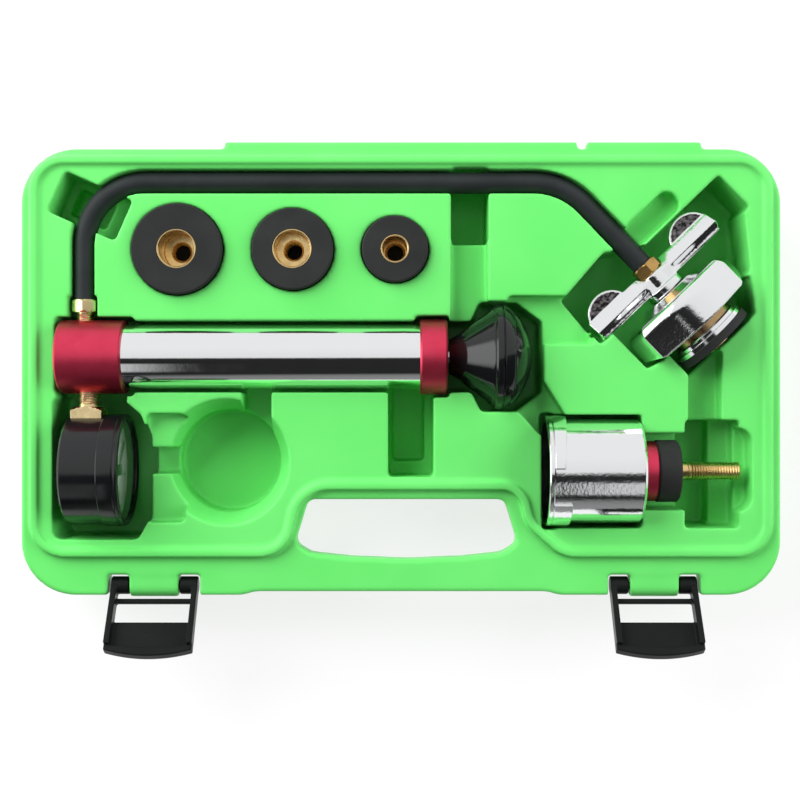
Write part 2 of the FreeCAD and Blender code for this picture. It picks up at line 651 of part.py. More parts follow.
def wing_outline():
    """The handle seen across its axis: a straight front edge and a round lobe at each end."""
    front = float(S.wing_front)
    beam_back = float(S.wing_front - S.wing_beam)
    half = float(S.wing_span / 2)
    lobe_r = float(S.lobe_od / 2)
    lobe_x = lobe_r - float(S.wing_back)
    lobe_y = half - lobe_r
    root = lobe_y - math.sqrt(lobe_r ** 2 - (lobe_x - beam_back) ** 2)
    edges = []
    for side in (1, -1):
        end = Vector(lobe_x, side * half, 0)
        back = Vector(lobe_x - lobe_r, side * lobe_y, 0)
        notch = Vector(beam_back, side * root, 0)
        edges.append(Part.LineSegment(Vector(front, side * half, 0), end).toShape())
        edges.append(Part.Arc(end, back, notch).toShape())
    edges.append(Part.LineSegment(Vector(beam_back, root, 0),
                                  Vector(beam_back, -root, 0)).toShape())
    edges.append(Part.LineSegment(Vector(front, half, 0), Vector(front, -half, 0)).toShape())
    return Part.Face(Part.Wire(Part.__sortEdges__(edges)))


def make_wing():
    """Cast butterfly handle: a hub with a collar, a thick straight rib and two round lobes."""
    hub_start = float(S.clamp_hex_len + S.seat_gap)
    hub_end = float(S.wing_hub_end)
    body = Part.makeCylinder(float(S.wing_hub / 2), hub_end - hub_start,
                             Vector(hub_start, 0, 0), AXIS_X)
    plate = float(S.wing_plate)
    face = wing_outline()
    face.translate(Vector(0, 0, -plate / 2))
    lobes = face.extrude(Vector(0, 0, plate))
    front = float(S.wing_front)
    back = float(S.wing_front - S.wing_beam)
    rise = float(S.wing_rib - S.wing_plate) / 2
    low = -float(S.wing_span / 2)
    section = [Vector(front, low, -rise - plate / 2), Vector(front, low, rise + plate / 2),
               Vector(back + rise, low, rise + plate / 2), Vector(back, low, plate / 2),
               Vector(back, low, -plate / 2), Vector(back + rise, low, -rise - plate / 2)]
    rib = Part.Face(Part.makePolygon(section + section[:1])).extrude(
        Vector(0, float(S.wing_span), 0))
    corners = [edge for edge in rib.Edges
               if abs(edge.CenterOfMass.x - front) < 0.01 and edge.Length < 2 * float(S.wing_rib)]
    rib = rib.makeChamfer(rise / 2, corners)
    collar = Part.makeCylinder(float(S.wing_collar / 2), hub_end - front, Vector(front, 0, 0),
                               AXIS_X)
    bore = Part.makeCylinder(float(stem_r + S.wing_play), hub_end, Vector(0, 0, 0), AXIS_X)
    clamp_way = Part.makeCylinder(float(S.clamp_hex / 2) / math.cos(math.pi / 6)
                                  + float(S.seat_gap), hub_start, Vector(0, 0, 0), AXIS_X)
    body = body.multiFuse([lobes, rib, collar]).cut(bore.fuse(clamp_way)).removeSplitter()
    keep(on_adapter(shaped("wing_handle", body)), "wing_handle")


def shell_outline(inset):
    """The cap's outline across its axis: a circle with a faceted ear on each side."""
    root_y = float(S.ear_root / 2) - inset / 2
    root_z = math.sqrt((float(shell_r) - inset) ** 2 - root_y ** 2)
    crest_y = float(S.ear_crest / 2) - inset
    crest_z = float(S.ear_height / 2) - inset
    tip = float(S.shell_ears / 2) - inset
    corners = [Vector(0, root_y, root_z), Vector(0, crest_y, crest_z), Vector(0, tip, 0),
               Vector(0, crest_y, -crest_z), Vector(0, root_y, -root_z)]
    edges = []
    for side in (1, -1):
        spots = [Vector(0, side * spot.y, spot.z) for spot in corners]
        for start, end in zip(spots, spots[1:]):
            edges.append(Part.LineSegment(start, end).toShape())
    for side in (1, -1):
        edges.append(Part.Arc(Vector(0, root_y, side * root_z),
                              Vector(0, 0, side * (float(shell_r) - inset)),
                              Vector(0, -root_y, side * root_z)).toShape())
    return Part.Face(Part.Wire(Part.__sortEdges__(edges)))


def make_shell():
    """Chromed cap shell with a domed back and two grip ears, open towards the neck."""
    start = float(S.shell_start)
    skirt_start = start + float(S.dome_rise)
    end = float(shell_end)
    wall = float(S.shell_wall)
    skirt = shell_outline(0.0)
    skirt.translate(Vector(skirt_start, 0, 0))
    solid = skirt.extrude(Vector(end - skirt_start, 0, 0))
    rim = [edge for edge in solid.Edges
           if abs(edge.BoundBox.XMin - skirt_start) + abs(edge.BoundBox.XMax - skirt_start) < 0.01]
    solid = solid.makeFillet(float(S.shell_edge), rim)
    dome_r = float(S.dome_od / 2)
    dome = Part.makeCone(dome_r, dome_r + 2 * float(S.dome_rise), float(S.dome_rise),
                         Vector(start, 0, 0), AXIS_X)
    solid = solid.fuse(dome)
    hollow = shell_outline(wall)
    hollow.translate(Vector(skirt_start + wall, 0, 0))
    hollow = hollow.extrude(Vector(end - skirt_start, 0, 0))
    dome_hollow = Part.makeCylinder(dome_r - wall, float(S.dome_rise) + 1.0,
                                    Vector(start + wall, 0, 0), AXIS_X)
    bore = Part.makeCylinder(float(stem_r + S.wing_play), end, Vector(start - 1.0, 0, 0), AXIS_X)
    solid = solid.cut(hollow).cut(dome_hollow).cut(bore)
    crest = float(S.ear_crest / 2) - 2.0
    tip = float(S.shell_ears / 2)
    cut = float(S.ear_cut)
    for side in (1, -1):
        wedge = [Vector(end, side * crest, -tip), Vector(end - cut, side * tip, -tip),
                 Vector(end, side * (tip + cut), -tip)]
        corner = Part.Face(Part.makePolygon(wedge + wedge[:1]))
        solid = solid.cut(corner.extrude(Vector(0, 0, 2 * tip)))
    keep(on_adapter(shaped("cap_shell", solid.removeSplitter())), "cap_shell")


def make_cap_seal():
    """Spring cup, spring, stepped plate and rubber seal, which slide on the spindle."""
    bore_r = stem_r + S.fit
    cup_r = S.cup_od / 2
    cup = turned("spring_cup", [
        (cup_end - S.cup_wall, bore_r), (cup_end, bore_r), (cup_end, cup_r),
        (S.cup_start, cup_r), (S.cup_start, cup_r - S.cup_wall),
        (cup_end - S.cup_wall, cup_r - S.cup_wall)])
    keep(on_adapter(cup), "spring_cup")
    spring_start = S.shell_start + S.shell_wall + S.plate_travel + S.seat_gap
    spring = ring("cap_spring", spring_start, cup_end - S.cup_wall, stem_r + 4.0, stem_r + 1.5)
    keep(on_adapter(spring), "cap_spring")
    plate_r = S.plate_od / 2
    step_r = S.step_od / 2
    step = cup_end + S.plate_step
    plate = turned("seal_plate", [
        (cup_end, bore_r), (plate_end, bore_r), (plate_end, plate_r), (step, plate_r),
        (step, step_r), (cup_end + plate_edge, step_r), (cup_end, step_r - plate_edge)])
    keep(on_adapter(plate), "seal_plate")
    seal = ring("cap_seal", plate_end, seal_end, S.seal_od / 2, bore_r)
    keep(on_adapter(seal), "cap_seal")


# ---------------------------------------------------------------- filler neck adapter

neck_r = S.neck_od / 2
base_start = S.neck_len - S.base_thick
collar_end = S.neck_len + S.collar_len
bung_end = collar_end + S.bung_len
shoulder_end = bung_end + S.shoulder_len
stud_end = shoulder_end + S.stud_len
stud_r = S.stud_od / 2


def on_neck(thing):
    return put(thing, S.neck_x, S.neck_y, mid_z)


def make_neck_cup():
    """Chromed dummy filler neck with a rolled lip and two cam ramps for a radiator cap."""
    lip_r = S.lip_od / 2
    inner_r = neck_r - S.neck_wall
    cup = turned("neck_cup_blank", [
        (ZERO, inner_r), (base_start, inner_r), (base_start, stud_r + S.thread_play),
        (S.neck_len, stud_r + S.thread_play), (S.neck_len, neck_r - 1.5),
        (S.neck_len - 1.5, neck_r), (S.lip_len, neck_r), (S.lip_len, lip_r - 0.6),
        (S.lip_len - 0.6, lip_r), (ZERO + 0.6, lip_r), (ZERO, lip_r - 0.6)])
    on_neck(cup)
    ramps = []
    for number in range(2):
        ramp = Part.makeCylinder(float(lip_r), float(S.cam_start + S.cam_len), Vector(0, 0, 0),
                                 AXIS_X, 360 - 2 * float(S.cam_gap) - 180)
        ramp = ramp.cut(Part.makeCylinder(float(neck_r) - 0.5, 40.0, Vector(-5, 0, 0), AXIS_X))
        ramp = ramp.cut(Part.makeBox(float(S.lip_len), 90, 90, Vector(0, -45, -45)))
        slope = Part.makeBox(20, 90, 90, Vector(0, -45, -45))
        slope.rotate(Vector(0, 0, 0), AXIS_Y, float(S.cam_rise))
        slope.translate(Vector(float(S.cam_start + S.cam_len / 2), 0, 0))
        ramp = ramp.cut(slope)
        ramp.rotate(Vector(0, 0, 0), AXIS_X, 180 * number + float(S.cam_turn))
        ramps.append(ramp)
    cams = on_neck(shaped("neck_cams", Part.makeCompound(ramps)))
    keep(joined("neck_cup", [cup, cams]), "neck_cup")


def make_neck_stud():
    """Red collar, rubber bung and the hollow brass stud with its nut inside the cup."""
    collar_r = S.collar_od / 2
    collar = turned("neck_collar", [
        (S.neck_len, stud_r + S.thread_play), (collar_end, stud_r + S.thread_play),
        (collar_end, collar_r - 0.6), (collar_end - 0.6, collar_r),
        (S.neck_len + 0.6, collar_r), (S.neck_len, collar_r - 0.6)])
    keep(on_neck(collar), "neck_collar")
    bung_r = S.bung_od / 2
    bung = turned("neck_bung", [
        (collar_end, stud_r + S.thread_play), (bung_end, stud_r + S.thread_play),
        (bung_end, bung_r - 0.8), (bung_end - 0.8, bung_r), (collar_end + 0.8, bung_r),
        (collar_end, bung_r - 0.8)])
    keep(on_neck(bung), "neck_bung")
    nut_start = base_start - S.nut_thick
    tail = nut_start - 2.0
    shoulder_r = S.shoulder_od / 2
    bore_r = S.stud_bore / 2
    stud = turned("neck_stud", [
        (tail, bore_r), (stud_end, bore_r), (stud_end, stud_r - 1.0), (stud_end - 1.0, stud_r),
        (shoulder_end, stud_r), (shoulder_end, stud_r - 0.4), (bung_end + 1.5, shoulder_r),
        (bung_end + S.fit, shoulder_r), (bung_end + S.fit, stud_r), (tail, stud_r)])
    keep(on_neck(stud), "neck_stud")
    nut = cut_away("neck_nut", hexagon("neck_nut_hex", S.nut_flats, nut_start, base_start),
                   [cylinder("neck_nut_bore", nut_start - 1.0, ZERO, ZERO,
                             stud_r + S.thread_play, S.nut_thick + 2.0, Z_TO_X)])
    keep(on_neck(nut), "neck_nut")


# ---------------------------------------------------------------- rubber stoppers

STOPPERS = ("large", "medium", "small")
soft_edge = S.bush_wall * 0.8


def make_stopper(size):
    """A rubber plug moulded round a brass insert: wide mouth above, blind M10 thread below."""
    outer_r = getattr(S, size + "_od") / 2
    mouth_r = getattr(S, size + "_bore") / 2
    deep = getattr(S, size + "_deep")
    x = getattr(S, size + "_x")
    insert_r = mouth_r + S.bush_wall
    thread_r = stud_r + S.thread_play
    top = S.stopper_height
    floor = S.stopper_floor
    rubber = turned("stopper_" + size, [
        (ZERO, ZERO), (floor, ZERO), (floor, insert_r + S.fit), (top, insert_r + S.fit),
        (top, outer_r - soft_edge), (top - soft_edge, outer_r), (soft_edge, outer_r),
        (ZERO, outer_r - soft_edge)])
    insert = turned("insert_" + size, [
        (floor, thread_r), (top - deep, thread_r), (top - deep, mouth_r), (top, mouth_r),
        (top, insert_r), (floor, insert_r)])
    for thing, label in ((rubber, "stopper_" + size), (insert, "insert_" + size)):
        keep(put(thing, x, S.stopper_y, S.stopper_top - top, ALONG_Z), label)


# ---------------------------------------------------------------- case base

front_y = -S.tray_width / 2
pivot_y = front_y + S.pivot_inset
pivot_z = S.flange_top - S.pivot_drop
plateau_z = float(S.plateau_z)
wall = float(S.wall)
OPEN_TOP = plateau_z + 20.0


def rounded_outline(points, radius):
    """A closed wire through the points, its corners rounded as far as their edges allow."""
    corners = [Vector(float(x), float(y), 0) for x, y in points]
    arcs = []
    for number, corner in enumerate(corners):
        before = corners[number - 1]
        after = corners[(number + 1) % len(corners)]
        into = (corner - before).normalize()
        out = (after - corner).normalize()
        half_turn = into.getAngle(out) / 2
        room = 0.45 * min((corner - before).Length, (after - corner).Length)
        reach = min(float(radius) * math.tan(half_turn), room)
        start = corner - into * reach
        end = corner + out * reach
        chord_middle = (start + end) * 0.5
        outward = (corner - chord_middle).normalize()
        sagitta = reach / math.tan(half_turn) * (1 - math.cos(half_turn))
        arcs.append((start, chord_middle + outward * sagitta, end))
    edges = []
    for number, (start, middle, end) in enumerate(arcs):
        edges.append(Part.Arc(start, middle, end).toShape())
        edges.append(Part.LineSegment(end, arcs[(number + 1) % len(arcs)][0]).toShape())
    return Part.Wire(edges)


def prism(points, radius, low, high, grow=0.0):
    """An upright rounded prism, its outline grown or shrunk by the given amount."""
    face = Part.Face(rounded_outline(points, radius))
    if grow:
        face = face.makeOffset2D(grow)
    face.translate(Vector(0, 0, float(low)))
    return face.extrude(Vector(0, 0, float(high) - float(low)))


def rectangle(left, right, low, high):
    return [(left, low), (right, low), (right, high), (left, high)]


def turned_rectangle(x, y, length, width, degrees):
    """A rectangle about its centre, turned from +X towards +Y."""
    angle = math.radians(degrees)
    along = Vector(math.cos(angle), math.sin(angle), 0)
    across = Vector(-math.sin(angle), math.cos(angle), 0)
    points = []
    for side, end in ((-1, -1), (-1, 1), (1, 1), (1, -1)):
        corner = Vector(x, y, 0) + along * (length / 2 * end) + across * (width / 2 * side)
        points.append((corner.x, corner.y))
    return points


def disc(x, y, radius, low, high):
    return Part.makeCylinder(float(radius), float(high) - float(low),
                             Vector(float(x), float(y), float(low)))


def beside_adapter(points):
    """Points given along and across the adapter's axis, turned into the case's X and Y."""
    turned_points = []
    for along, across in points:
        spot = adapter_turn.multVec(Vector(float(along), float(across), 0))
        turned_points.append((float(S.adapter_x) + spot.x, float(S.adapter_y) + spot.y))
    return turned_points


def pump_pockets():
    """Head, barrel, end cap, knob and gauge pockets: (outline, corner radius, floor)."""
    seat = S.seat_gap
    left = S.pump_x - 2.0
    barrel_left = S.pump_x + S.head_len + S.cradle_gap
    cap_left = S.pump_x + cap_face - 3.0
    knob_left = S.pump_x + cap_end + 1.5
    knob_tip = S.pump_x + cap_end + S.knob_gap + S.knob_len
    half_head = head_r + S.snug_gap
    half_barrel = tube_r + S.cradle_gap
    half_cap = cap_r + S.snug_gap
    half_knob = S.knob_od / 2 + 1.2
    y = S.pump_y
    right = knob_tip + 6.0
    shoulder = knob_left + S.knob_len * 0.37
    rim_end = knob_left + S.knob_len * 0.80
    knob = [(knob_left - 4.0, y - half_barrel), (shoulder - 5.0, y - half_barrel),
            (shoulder, y - half_knob), (rim_end, y - half_knob), (right, y - half_barrel),
            (right, y + half_barrel), (rim_end, y + half_knob), (shoulder, y + half_knob),
            (shoulder - 5.0, y + half_barrel), (knob_left - 4.0, y + half_barrel)]
    gauge_left = case_back - 7.8
    gauge_right = case_back + S.gauge_depth + 13.0
    gauge_low = S.gauge_y - bezel_r - 7.3
    gauge = [(gauge_left, gauge_low), (gauge_right - 6.6, gauge_low),
             (gauge_right, gauge_low + 12.0), (gauge_right, S.gauge_y + 18.5),
             (gauge_right - 5.0, S.gauge_y + bezel_r), (gauge_right - 17.0, y - half_head),
             (gauge_left, y - half_head)]
    return [
        (rectangle(left, barrel_left + 4.0, y - half_head, y + half_head), 2.0,
         mid_z - head_r - seat),
        (rectangle(barrel_left, knob_left, y - half_barrel, y + half_barrel), 2.0,
         mid_z - tube_r - seat),
        (rectangle(cap_left, knob_left, y - half_cap, y + half_cap), 1.5,
         mid_z - cap_r - seat),
        (knob, 3.0, mid_z - S.knob_od / 2 - S.snug_gap),
        (gauge, 5.0, mid_z - bezel_r - seat),
        (rectangle(gauge_left + 2.0, barrel_left, y - half_head - 4.0, y - half_head + 4.0), 1.5,
         mid_z - bezel_r - seat),
    ]


def finger_wells():
    """Wells and channels for fingers and for pieces that can be added to the set."""
    wells = [(turned_rectangle(-171.6, 91.6, 40.4, 24.4, -23.8), 2.0, 20.0),
             (turned_rectangle(-175.5, 93.4, 22.0, 16.0, -23.8), 1.5, 10.0)]
    for left, right, front, back, radius, floor in WELLS.values():
        wells.append((rectangle(left, right, front, back), radius, floor))
    return wells + list(SLANTED_WELLS.values())


def neck_pockets():
    """Pockets of the filler neck adapter, its bung and its stud."""
    y = S.neck_y
    cup_half = S.lip_od / 2 + S.snug_gap
    body_half = S.lip_od / 2 + S.seat_gap * 2
    cup_floor = mid_z - S.lip_od / 2 - S.seat_gap
    lip_right = S.neck_x + S.lip_len + 3.2
    bung_half = S.bung_od / 2 + 4.0
    cup_right = S.neck_x + S.neck_len + S.seat_gap * 2
    bung_right = S.neck_x + bung_end + 4.0
    stud_right = S.neck_x + stud_end
    deep_half = cup_half - 1.0
    return [
        (rectangle(S.neck_x - 2.2, lip_right, y - cup_half, y + cup_half), 2.0, cup_floor),
        (rectangle(S.neck_x, cup_right, y - body_half, y + body_half), 2.0, cup_floor),
        (rectangle(cup_right - 5.0, bung_right, y - bung_half, y + bung_half), 2.0,
         mid_z - S.bung_od / 2 - S.snug_gap),
        (rectangle(bung_right - 1.0, bung_right + 17.0, y - deep_half, y + deep_half - 3.0), 2.0,
         10.0),
        (rectangle(bung_right + 12.0, stud_right - 1.5, y - deep_half, y + deep_half - 3.0), 2.0,
         22.0),
        (rectangle(stud_right - 12.0, stud_right + 5.6, y - 22.0, y + 24.0), 8.0, 30.0),
        (rectangle(bung_right + 1.0, bung_right + 19.5, y + deep_half - 5.0, 12.0), 2.0, 34.0),
    ]


def adapter_pockets():
    """Pockets of the wing handle, the cap shell and its seal."""
    wing_floor = mid_z - shell_r - S.snug_gap
    half_span = S.wing_span / 2
    gap = S.snug_gap + 1.0
    wing_wall = -S.wing_back - S.snug_gap
    reach = half_span + 19.0
    wing = [(wing_wall - 10.0, -half_span - S.snug_gap),
            (S.wing_front, -half_span - gap - 1.0), (S.wing_front + gap, reach),
            (wing_wall, reach), (wing_wall, 8.0), (wing_wall - 13.2, -12.0)]
    half_shell = S.shell_ears / 2 + gap
    half_seal = S.seal_od / 2 + 2.2
    shell_front = shell_end + S.snug_gap / 2
    half_crest = S.ear_crest / 2
    shell = [(S.wing_front - 3.0, -half_shell), (shell_front - S.ear_cut / 2, -half_shell),
             (shell_front, -half_crest), (shell_front, half_crest),
             (shell_front - S.ear_cut / 2, half_shell + 1.0), (S.wing_front - 3.0, reach)]
    seal = [(shell_end - 1.0, -half_seal), (stem_end + 1.2, -half_seal),
            (stem_end + 1.2, half_seal), (shell_end - 1.0, half_shell)]
    spare = [(-22.0, 4.0), (-8.3, 4.0), (-8.3, 38.3), (-22.0, 38.5)]
    return [
        (beside_adapter(wing), 2.0, wing_floor),
        (beside_adapter(shell), 2.0, wing_floor),
        (beside_adapter(seal), 2.0, wing_floor),
        (beside_adapter(spare), 6.0, 37.0),
    ]


def all_pockets(grow=0.0):
    """Every pocket as one solid up to above the rim, grown by the wall for the void."""
    outlines = pump_pockets() + finger_wells() + neck_pockets() + adapter_pockets()
    solids = []
    for points, radius, floor in outlines:
        solids.append(prism(points, radius, float(floor) - grow, OPEN_TOP, grow))
    solids.append(round_recess(grow))
    hole_floor = S.stopper_top - S.stopper_height - S.seat_gap - grow
    for size in STOPPERS:
        hole_r = getattr(S, size + "_od") / 2 + S.stopper_gap + grow
        solids.append(disc(getattr(S, size + "_x"), S.stopper_y, hole_r, hole_floor, OPEN_TOP))
    solids.append(hose_channel(grow))
    return solids[0].multiFuse(solids[1:])


def round_recess(grow=0.0):
    """The spare round recess: a straight wall below and a flared one above it."""
    x, y, low = float(S.recess_x), float(S.recess_y), float(S.recess_slope)
    radius = float(S.recess_r)
    flare = (float(S.recess_rim_r) - radius) / (plateau_z - low)
    base_r = radius + grow * (math.hypot(1.0, flare) - flare)
    height = OPEN_TOP - low + grow
    cone = Part.makeCone(base_r, base_r + flare * height, height, Vector(x, y, low - grow))
    return cone.fuse(disc(x, y, radius + grow, float(S.recess_floor) - grow, OPEN_TOP))


def hose_channel(grow=0.0):
    """The channel that holds the hose: a slot swept along the hose's own route."""
    path = hose_path()
    start = path.OrderedVertexes[0].Point
    half = float(S.hose_od / 2 + S.channel_gap) + grow
    floor = float(mid_z - S.hose_od / 2 - S.seat_gap) - grow
    top = OPEN_TOP
    corners = [Vector(start.x - half, start.y, floor), Vector(start.x + half, start.y, floor),
               Vector(start.x + half, start.y, top), Vector(start.x - half, start.y, top)]
    profile = Part.makePolygon(corners + corners[:1])
    slot = swept(path, profile)
    fitting_half = float(S.nipple_hex / 2) + 1.6 + grow
    head_top = float(S.pump_y + head_r)
    fitting = Part.makeBox(2 * fitting_half, start.y - head_top + 4.0, top - floor + 1.5,
                           Vector(start.x - fitting_half, head_top - 2.0, floor - 1.5))
    far = beside_adapter([(-6.0, -float(S.clamp_hex / 2) - 1.8 - grow),
                          (10.0, -float(S.clamp_hex / 2) - 1.8 - grow),
                          (10.0, float(S.clamp_hex / 2) + 1.8 + grow),
                          (-6.0, float(S.clamp_hex / 2) + 1.8 + grow)])
    return slot.fuse(fitting).fuse(prism(far, 1.0, floor - 2.5, top))


def pan_outline():
    """The moulded pan's outline, which runs round the back of the handle opening."""
    side = float(S.tray_length / 2 - S.side_margin)
    back = float(S.tray_width / 2 - S.pan_margin)
    front = float(front_y + S.front_rail)
    handle_back = handle_corners()[0][1] + float(S.grip_wall)
    left = float(S.handle_x - S.handle_top / 2)
    right = float(S.handle_x + S.handle_top / 2)
    return [(-side, back), (-side, front), (left - 11.0, front), (left - 3.0, handle_back),
            (right + 7.0, handle_back), (right + 12.0, front + 17.0), (right + 31.0, front),
            (side, front), (side, back)]


def handle_corners():
    """The handle opening: straight at the back, fuller and bowed at the front."""
    x = float(S.handle_x)
    top = float(S.handle_top / 2)
    bottom = float(S.handle_bottom / 2)
    sag = float(S.handle_sag)
    low = float(front_y + S.grip_rail)
    back = low + sag + float(S.handle_depth) - 1.0
    corner_y = low + 2 * sag - 1.0
    bow = [(x + bottom * share, low + sag * share ** 2) for share in (-0.85, -0.5, 0, 0.5, 0.85)]
    return ([(x - top, back), (x - bottom, corner_y)] + bow
            + [(x + bottom, corner_y), (x + top, back)])


def tray_outline():
    """The rim's outline, set back a little at the front between the two latches."""
    half_x = float(S.tray_length / 2)
    half_y = float(S.tray_width / 2)
    outer = float(S.front_step_x + S.front_ramp / 2)
    inner = outer - float(S.front_ramp)
    step = -half_y + float(S.front_step)
    return [(-half_x, -half_y), (-outer, -half_y), (-inner, step), (inner, step),
            (outer, -half_y), (half_x, -half_y), (half_x, half_y), (-half_x, half_y)]


def latch_x(side):
    return S.latch_shift + S.latch_pitch / 2 * side


def latch_notch(side, grow=0.0):
    """The cut-out in the front rail in which a latch swings."""
    half = float(S.latch_width / 2 + S.latch_gap) + grow
    x = float(latch_x(side))
    depth = float(S.pivot_inset + S.knuckle_od / 2) + 0.2 + grow
    return Part.makeBox(2 * half, depth + 5.0, plateau_z,
                        Vector(x - half, float(front_y) - 5.0, 10.0))


def knuckle(side, radius, width):
    """A round bar along X on a latch's pivot line."""
    return Part.makeCylinder(float(radius), float(width),
                             Vector(float(latch_x(side) - width / 2), float(pivot_y),
                                    float(pivot_z)), AXIS_X)


def make_tray():
    """Blow-moulded case base: two skins that enclose air, with a handle and hinge barrel."""
    pan = prism(pan_outline(), S.pan_corner, 0, plateau_z)
    pan = pan.makeFillet(float(S.pan_edge), [edge for edge in pan.Edges
                                             if abs(edge.CenterOfMass.z) < 0.001])
    flange = prism(tray_outline(), S.tray_corner, S.flange_top - S.flange_thick, S.flange_top)
    rail_low = S.flange_top - S.rail_thick
    front_zone = Part.makeBox(500, 80, 40, Vector(-250, float(front_y) - 1.0, float(rail_low)))
    rail = prism(tray_outline(), S.tray_corner, rail_low, S.flange_top).common(front_zone)
    bead = prism(pan_outline(), S.pan_corner, plateau_z, S.plateau_z + S.bead_height)
    bead = bead.cut(prism(pan_outline(), S.pan_corner, 0, OPEN_TOP, -float(S.bead_width)))
    solid = pan.multiFuse([flange, rail, bead])

    handle = prism(handle_corners(), S.handle_corner, -5, OPEN_TOP)
    solid = solid.cut(handle)
    for side in (-1, 1):
        solid = solid.cut(latch_notch(side))
        root = Part.makeBox(float(S.knuckle_width), 10.0, float(S.knuckle_od),
                            Vector(float(latch_x(side) - S.knuckle_width / 2),
                                   float(pivot_y), float(pivot_z - S.knuckle_od / 2)))
        solid = solid.multiFuse([knuckle(side, S.knuckle_od / 2, S.knuckle_width), root])
        solid = solid.cut(knuckle(side, S.pin_od / 2 + S.fit, S.knuckle_width + 4.0))
    solid = solid.fuse(hinge_barrel())
    solid = solid.cut(hinge_bore())
    solid = solid.cut(all_pockets())
    solid = solid.cut(tray_void()).removeSplitter()
    keep(shaped("case_tray", solid), "case_tray")


def hinge_barrel():
    """Hinge barrel and the low strip beside it, along the back edge."""
    back = float(S.tray_width / 2)
    low = float(S.flange_top - S.hinge_drop)
    reach = float(S.hinge_reach)
    barrel = Part.makeBox(float(S.hinge_length), reach + 3.0, float(S.hinge_drop),
                          Vector(float(S.hinge_x - S.hinge_length / 2), back - 3.0, low))
    strip_x = -float(S.hinge_strip / 2)
    strip = Part.makeBox(float(S.hinge_strip), reach - 1.0, float(S.hinge_drop),
                         Vector(strip_x, back + 1.0, low))
    ears = [Part.makeBox(4.0, reach, float(S.hinge_drop), Vector(x, back - 0.5, low))
            for x in (strip_x, -2.0, -strip_x - 4.0)]
    return barrel.multiFuse([strip] + ears)


def hinge_bore():
    """The bore that takes a lid's hinge pin."""
    back = float(S.tray_width / 2)
    middle = float(S.flange_top - S.hinge_drop / 2)
    return Part.makeCylinder(float(S.hinge_pin / 2), float(S.hinge_length) + 2.0,
                             Vector(float(S.hinge_x - S.hinge_length / 2) - 1.0,
                                    back + float(S.hinge_pin / 2 + S.bead_height / 4),
                                    middle), AXIS_X)


def tray_void():
    """The air between the two skins, one wall inside every surface."""
    inner = prism(pan_outline(), S.pan_corner, wall, plateau_z - wall, -wall)
    inner = inner.makeFillet(float(S.pan_edge) - wall, [edge for edge in inner.Edges
                                                        if abs(edge.CenterOfMass.z - wall) < 0.001])
    inner = inner.cut(all_pockets(wall))
    rail_low = float(S.flange_top - S.rail_thick)
    hollow = prism(tray_outline(), S.tray_corner, rail_low + wall, float(S.flange_top) - wall,
                   -wall)
    zone = Part.makeBox(500, 60, 60, Vector(-250, float(front_y), 0))
    hollow = hollow.common(zone)
    hollow = hollow.cut(prism(pan_outline(), S.pan_corner, 0, OPEN_TOP, 0.3))
    hollow = hollow.cut(prism(handle_corners(), S.handle_corner, -5, OPEN_TOP, wall))
    for side in (-1, 1):
        hollow = hollow.cut(latch_notch(side, wall))
    return Part.makeCompound([inner, hollow])


# ---------------------------------------------------------------- latches

def make_latch(name, side):
    """A latch with its window, two arms, pivot bosses and the pins that snap in the knuckle."""
    half = S.latch_width / 2
    arm = S.latch_arm
    low = -S.latch_depth / 2
    lip_start = S.latch_len - S.latch_lip
    boss_inner = S.knuckle_width / 2 + S.seat_gap * 2
    bar_start = S.knuckle_od / 2 + S.bar_gap
    pieces = []
    for hand in (-1, 1):
        tag = name + ("_left" if hand < 0 else "_right")
        arm_x = half - arm if hand > 0 else -half
        pieces.append(block(tag + "_arm", arm_x, -lip_start, low, arm, lip_start,
                            S.latch_depth))
        boss_x = boss_inner if hand > 0 else -half
        pieces.append(cylinder(tag + "_boss", boss_x, ZERO, ZERO, S.knuckle_od / 2 - 1.2,
                               half - boss_inner, Z_TO_X))
        pin_x = S.knuckle_width / 2 - S.pin_bite if hand > 0 else -boss_inner - 1.0
        pin_len = S.pin_bite + boss_inner - S.knuckle_width / 2 + 1.0
        pieces.append(cylinder(tag + "_pin", pin_x, ZERO, ZERO, S.pin_od / 2, pin_len, Z_TO_X))
    pieces.append(block(name + "_bar", -half, -bar_start - S.latch_bar, low, S.latch_width,
                        S.latch_bar, S.latch_plate))
    pieces.append(block(name + "_plate", -half, -lip_start, low, S.latch_width,
                        lip_start - S.latch_window, S.latch_plate))
    pieces.append(block(name + "_lip", -half, -S.latch_len, low, S.latch_width, S.latch_lip,
                        S.latch_depth * 0.7))
    latch = joined(name, pieces)
    tilt = Rotation(AXIS_X, -float(S.latch_angle))
    keep(put(latch, latch_x(side), pivot_y, pivot_z, tilt), name)


# ---------------------------------------------------------------- build and write

def build():
    make_tray()
    make_latch("latch_left", -1)
    make_latch("latch_right", 1)
    make_head()
    make_check_valve()
    make_barrel()
    make_plunger()
    make_gauge_stem()
    make_gauge_housing()
    make_gauge_works()
    make_hose()
    make_hose_ends()
    make_cap_spindle()
    make_wing()
    make_shell()
    make_cap_seal()
    make_neck_cup()
    make_neck_stud()
    for size in STOPPERS:
        make_stopper(size)
    doc.recompute()


def check():
    """Stops before anything is written if an object failed or a sub-part is no valid solid."""
    for thing in doc.Objects:
        if "Invalid" in thing.State or "Error" in thing.State:
            raise RuntimeError("%s failed: %s" % (thing.Name, thing.State))
    for thing in finished:
        shape = thing.Shape
        if shape.isNull() or not shape.isValid() or not shape.Solids:
            raise RuntimeError("%s has no valid solid" % thing.Label)


def write():
    os.makedirs("parts", exist_ok=True)
    for thing in finished:
        thing.Shape.exportStep(os.path.join("parts", thing.Label + ".step"))


build()
check()
write()
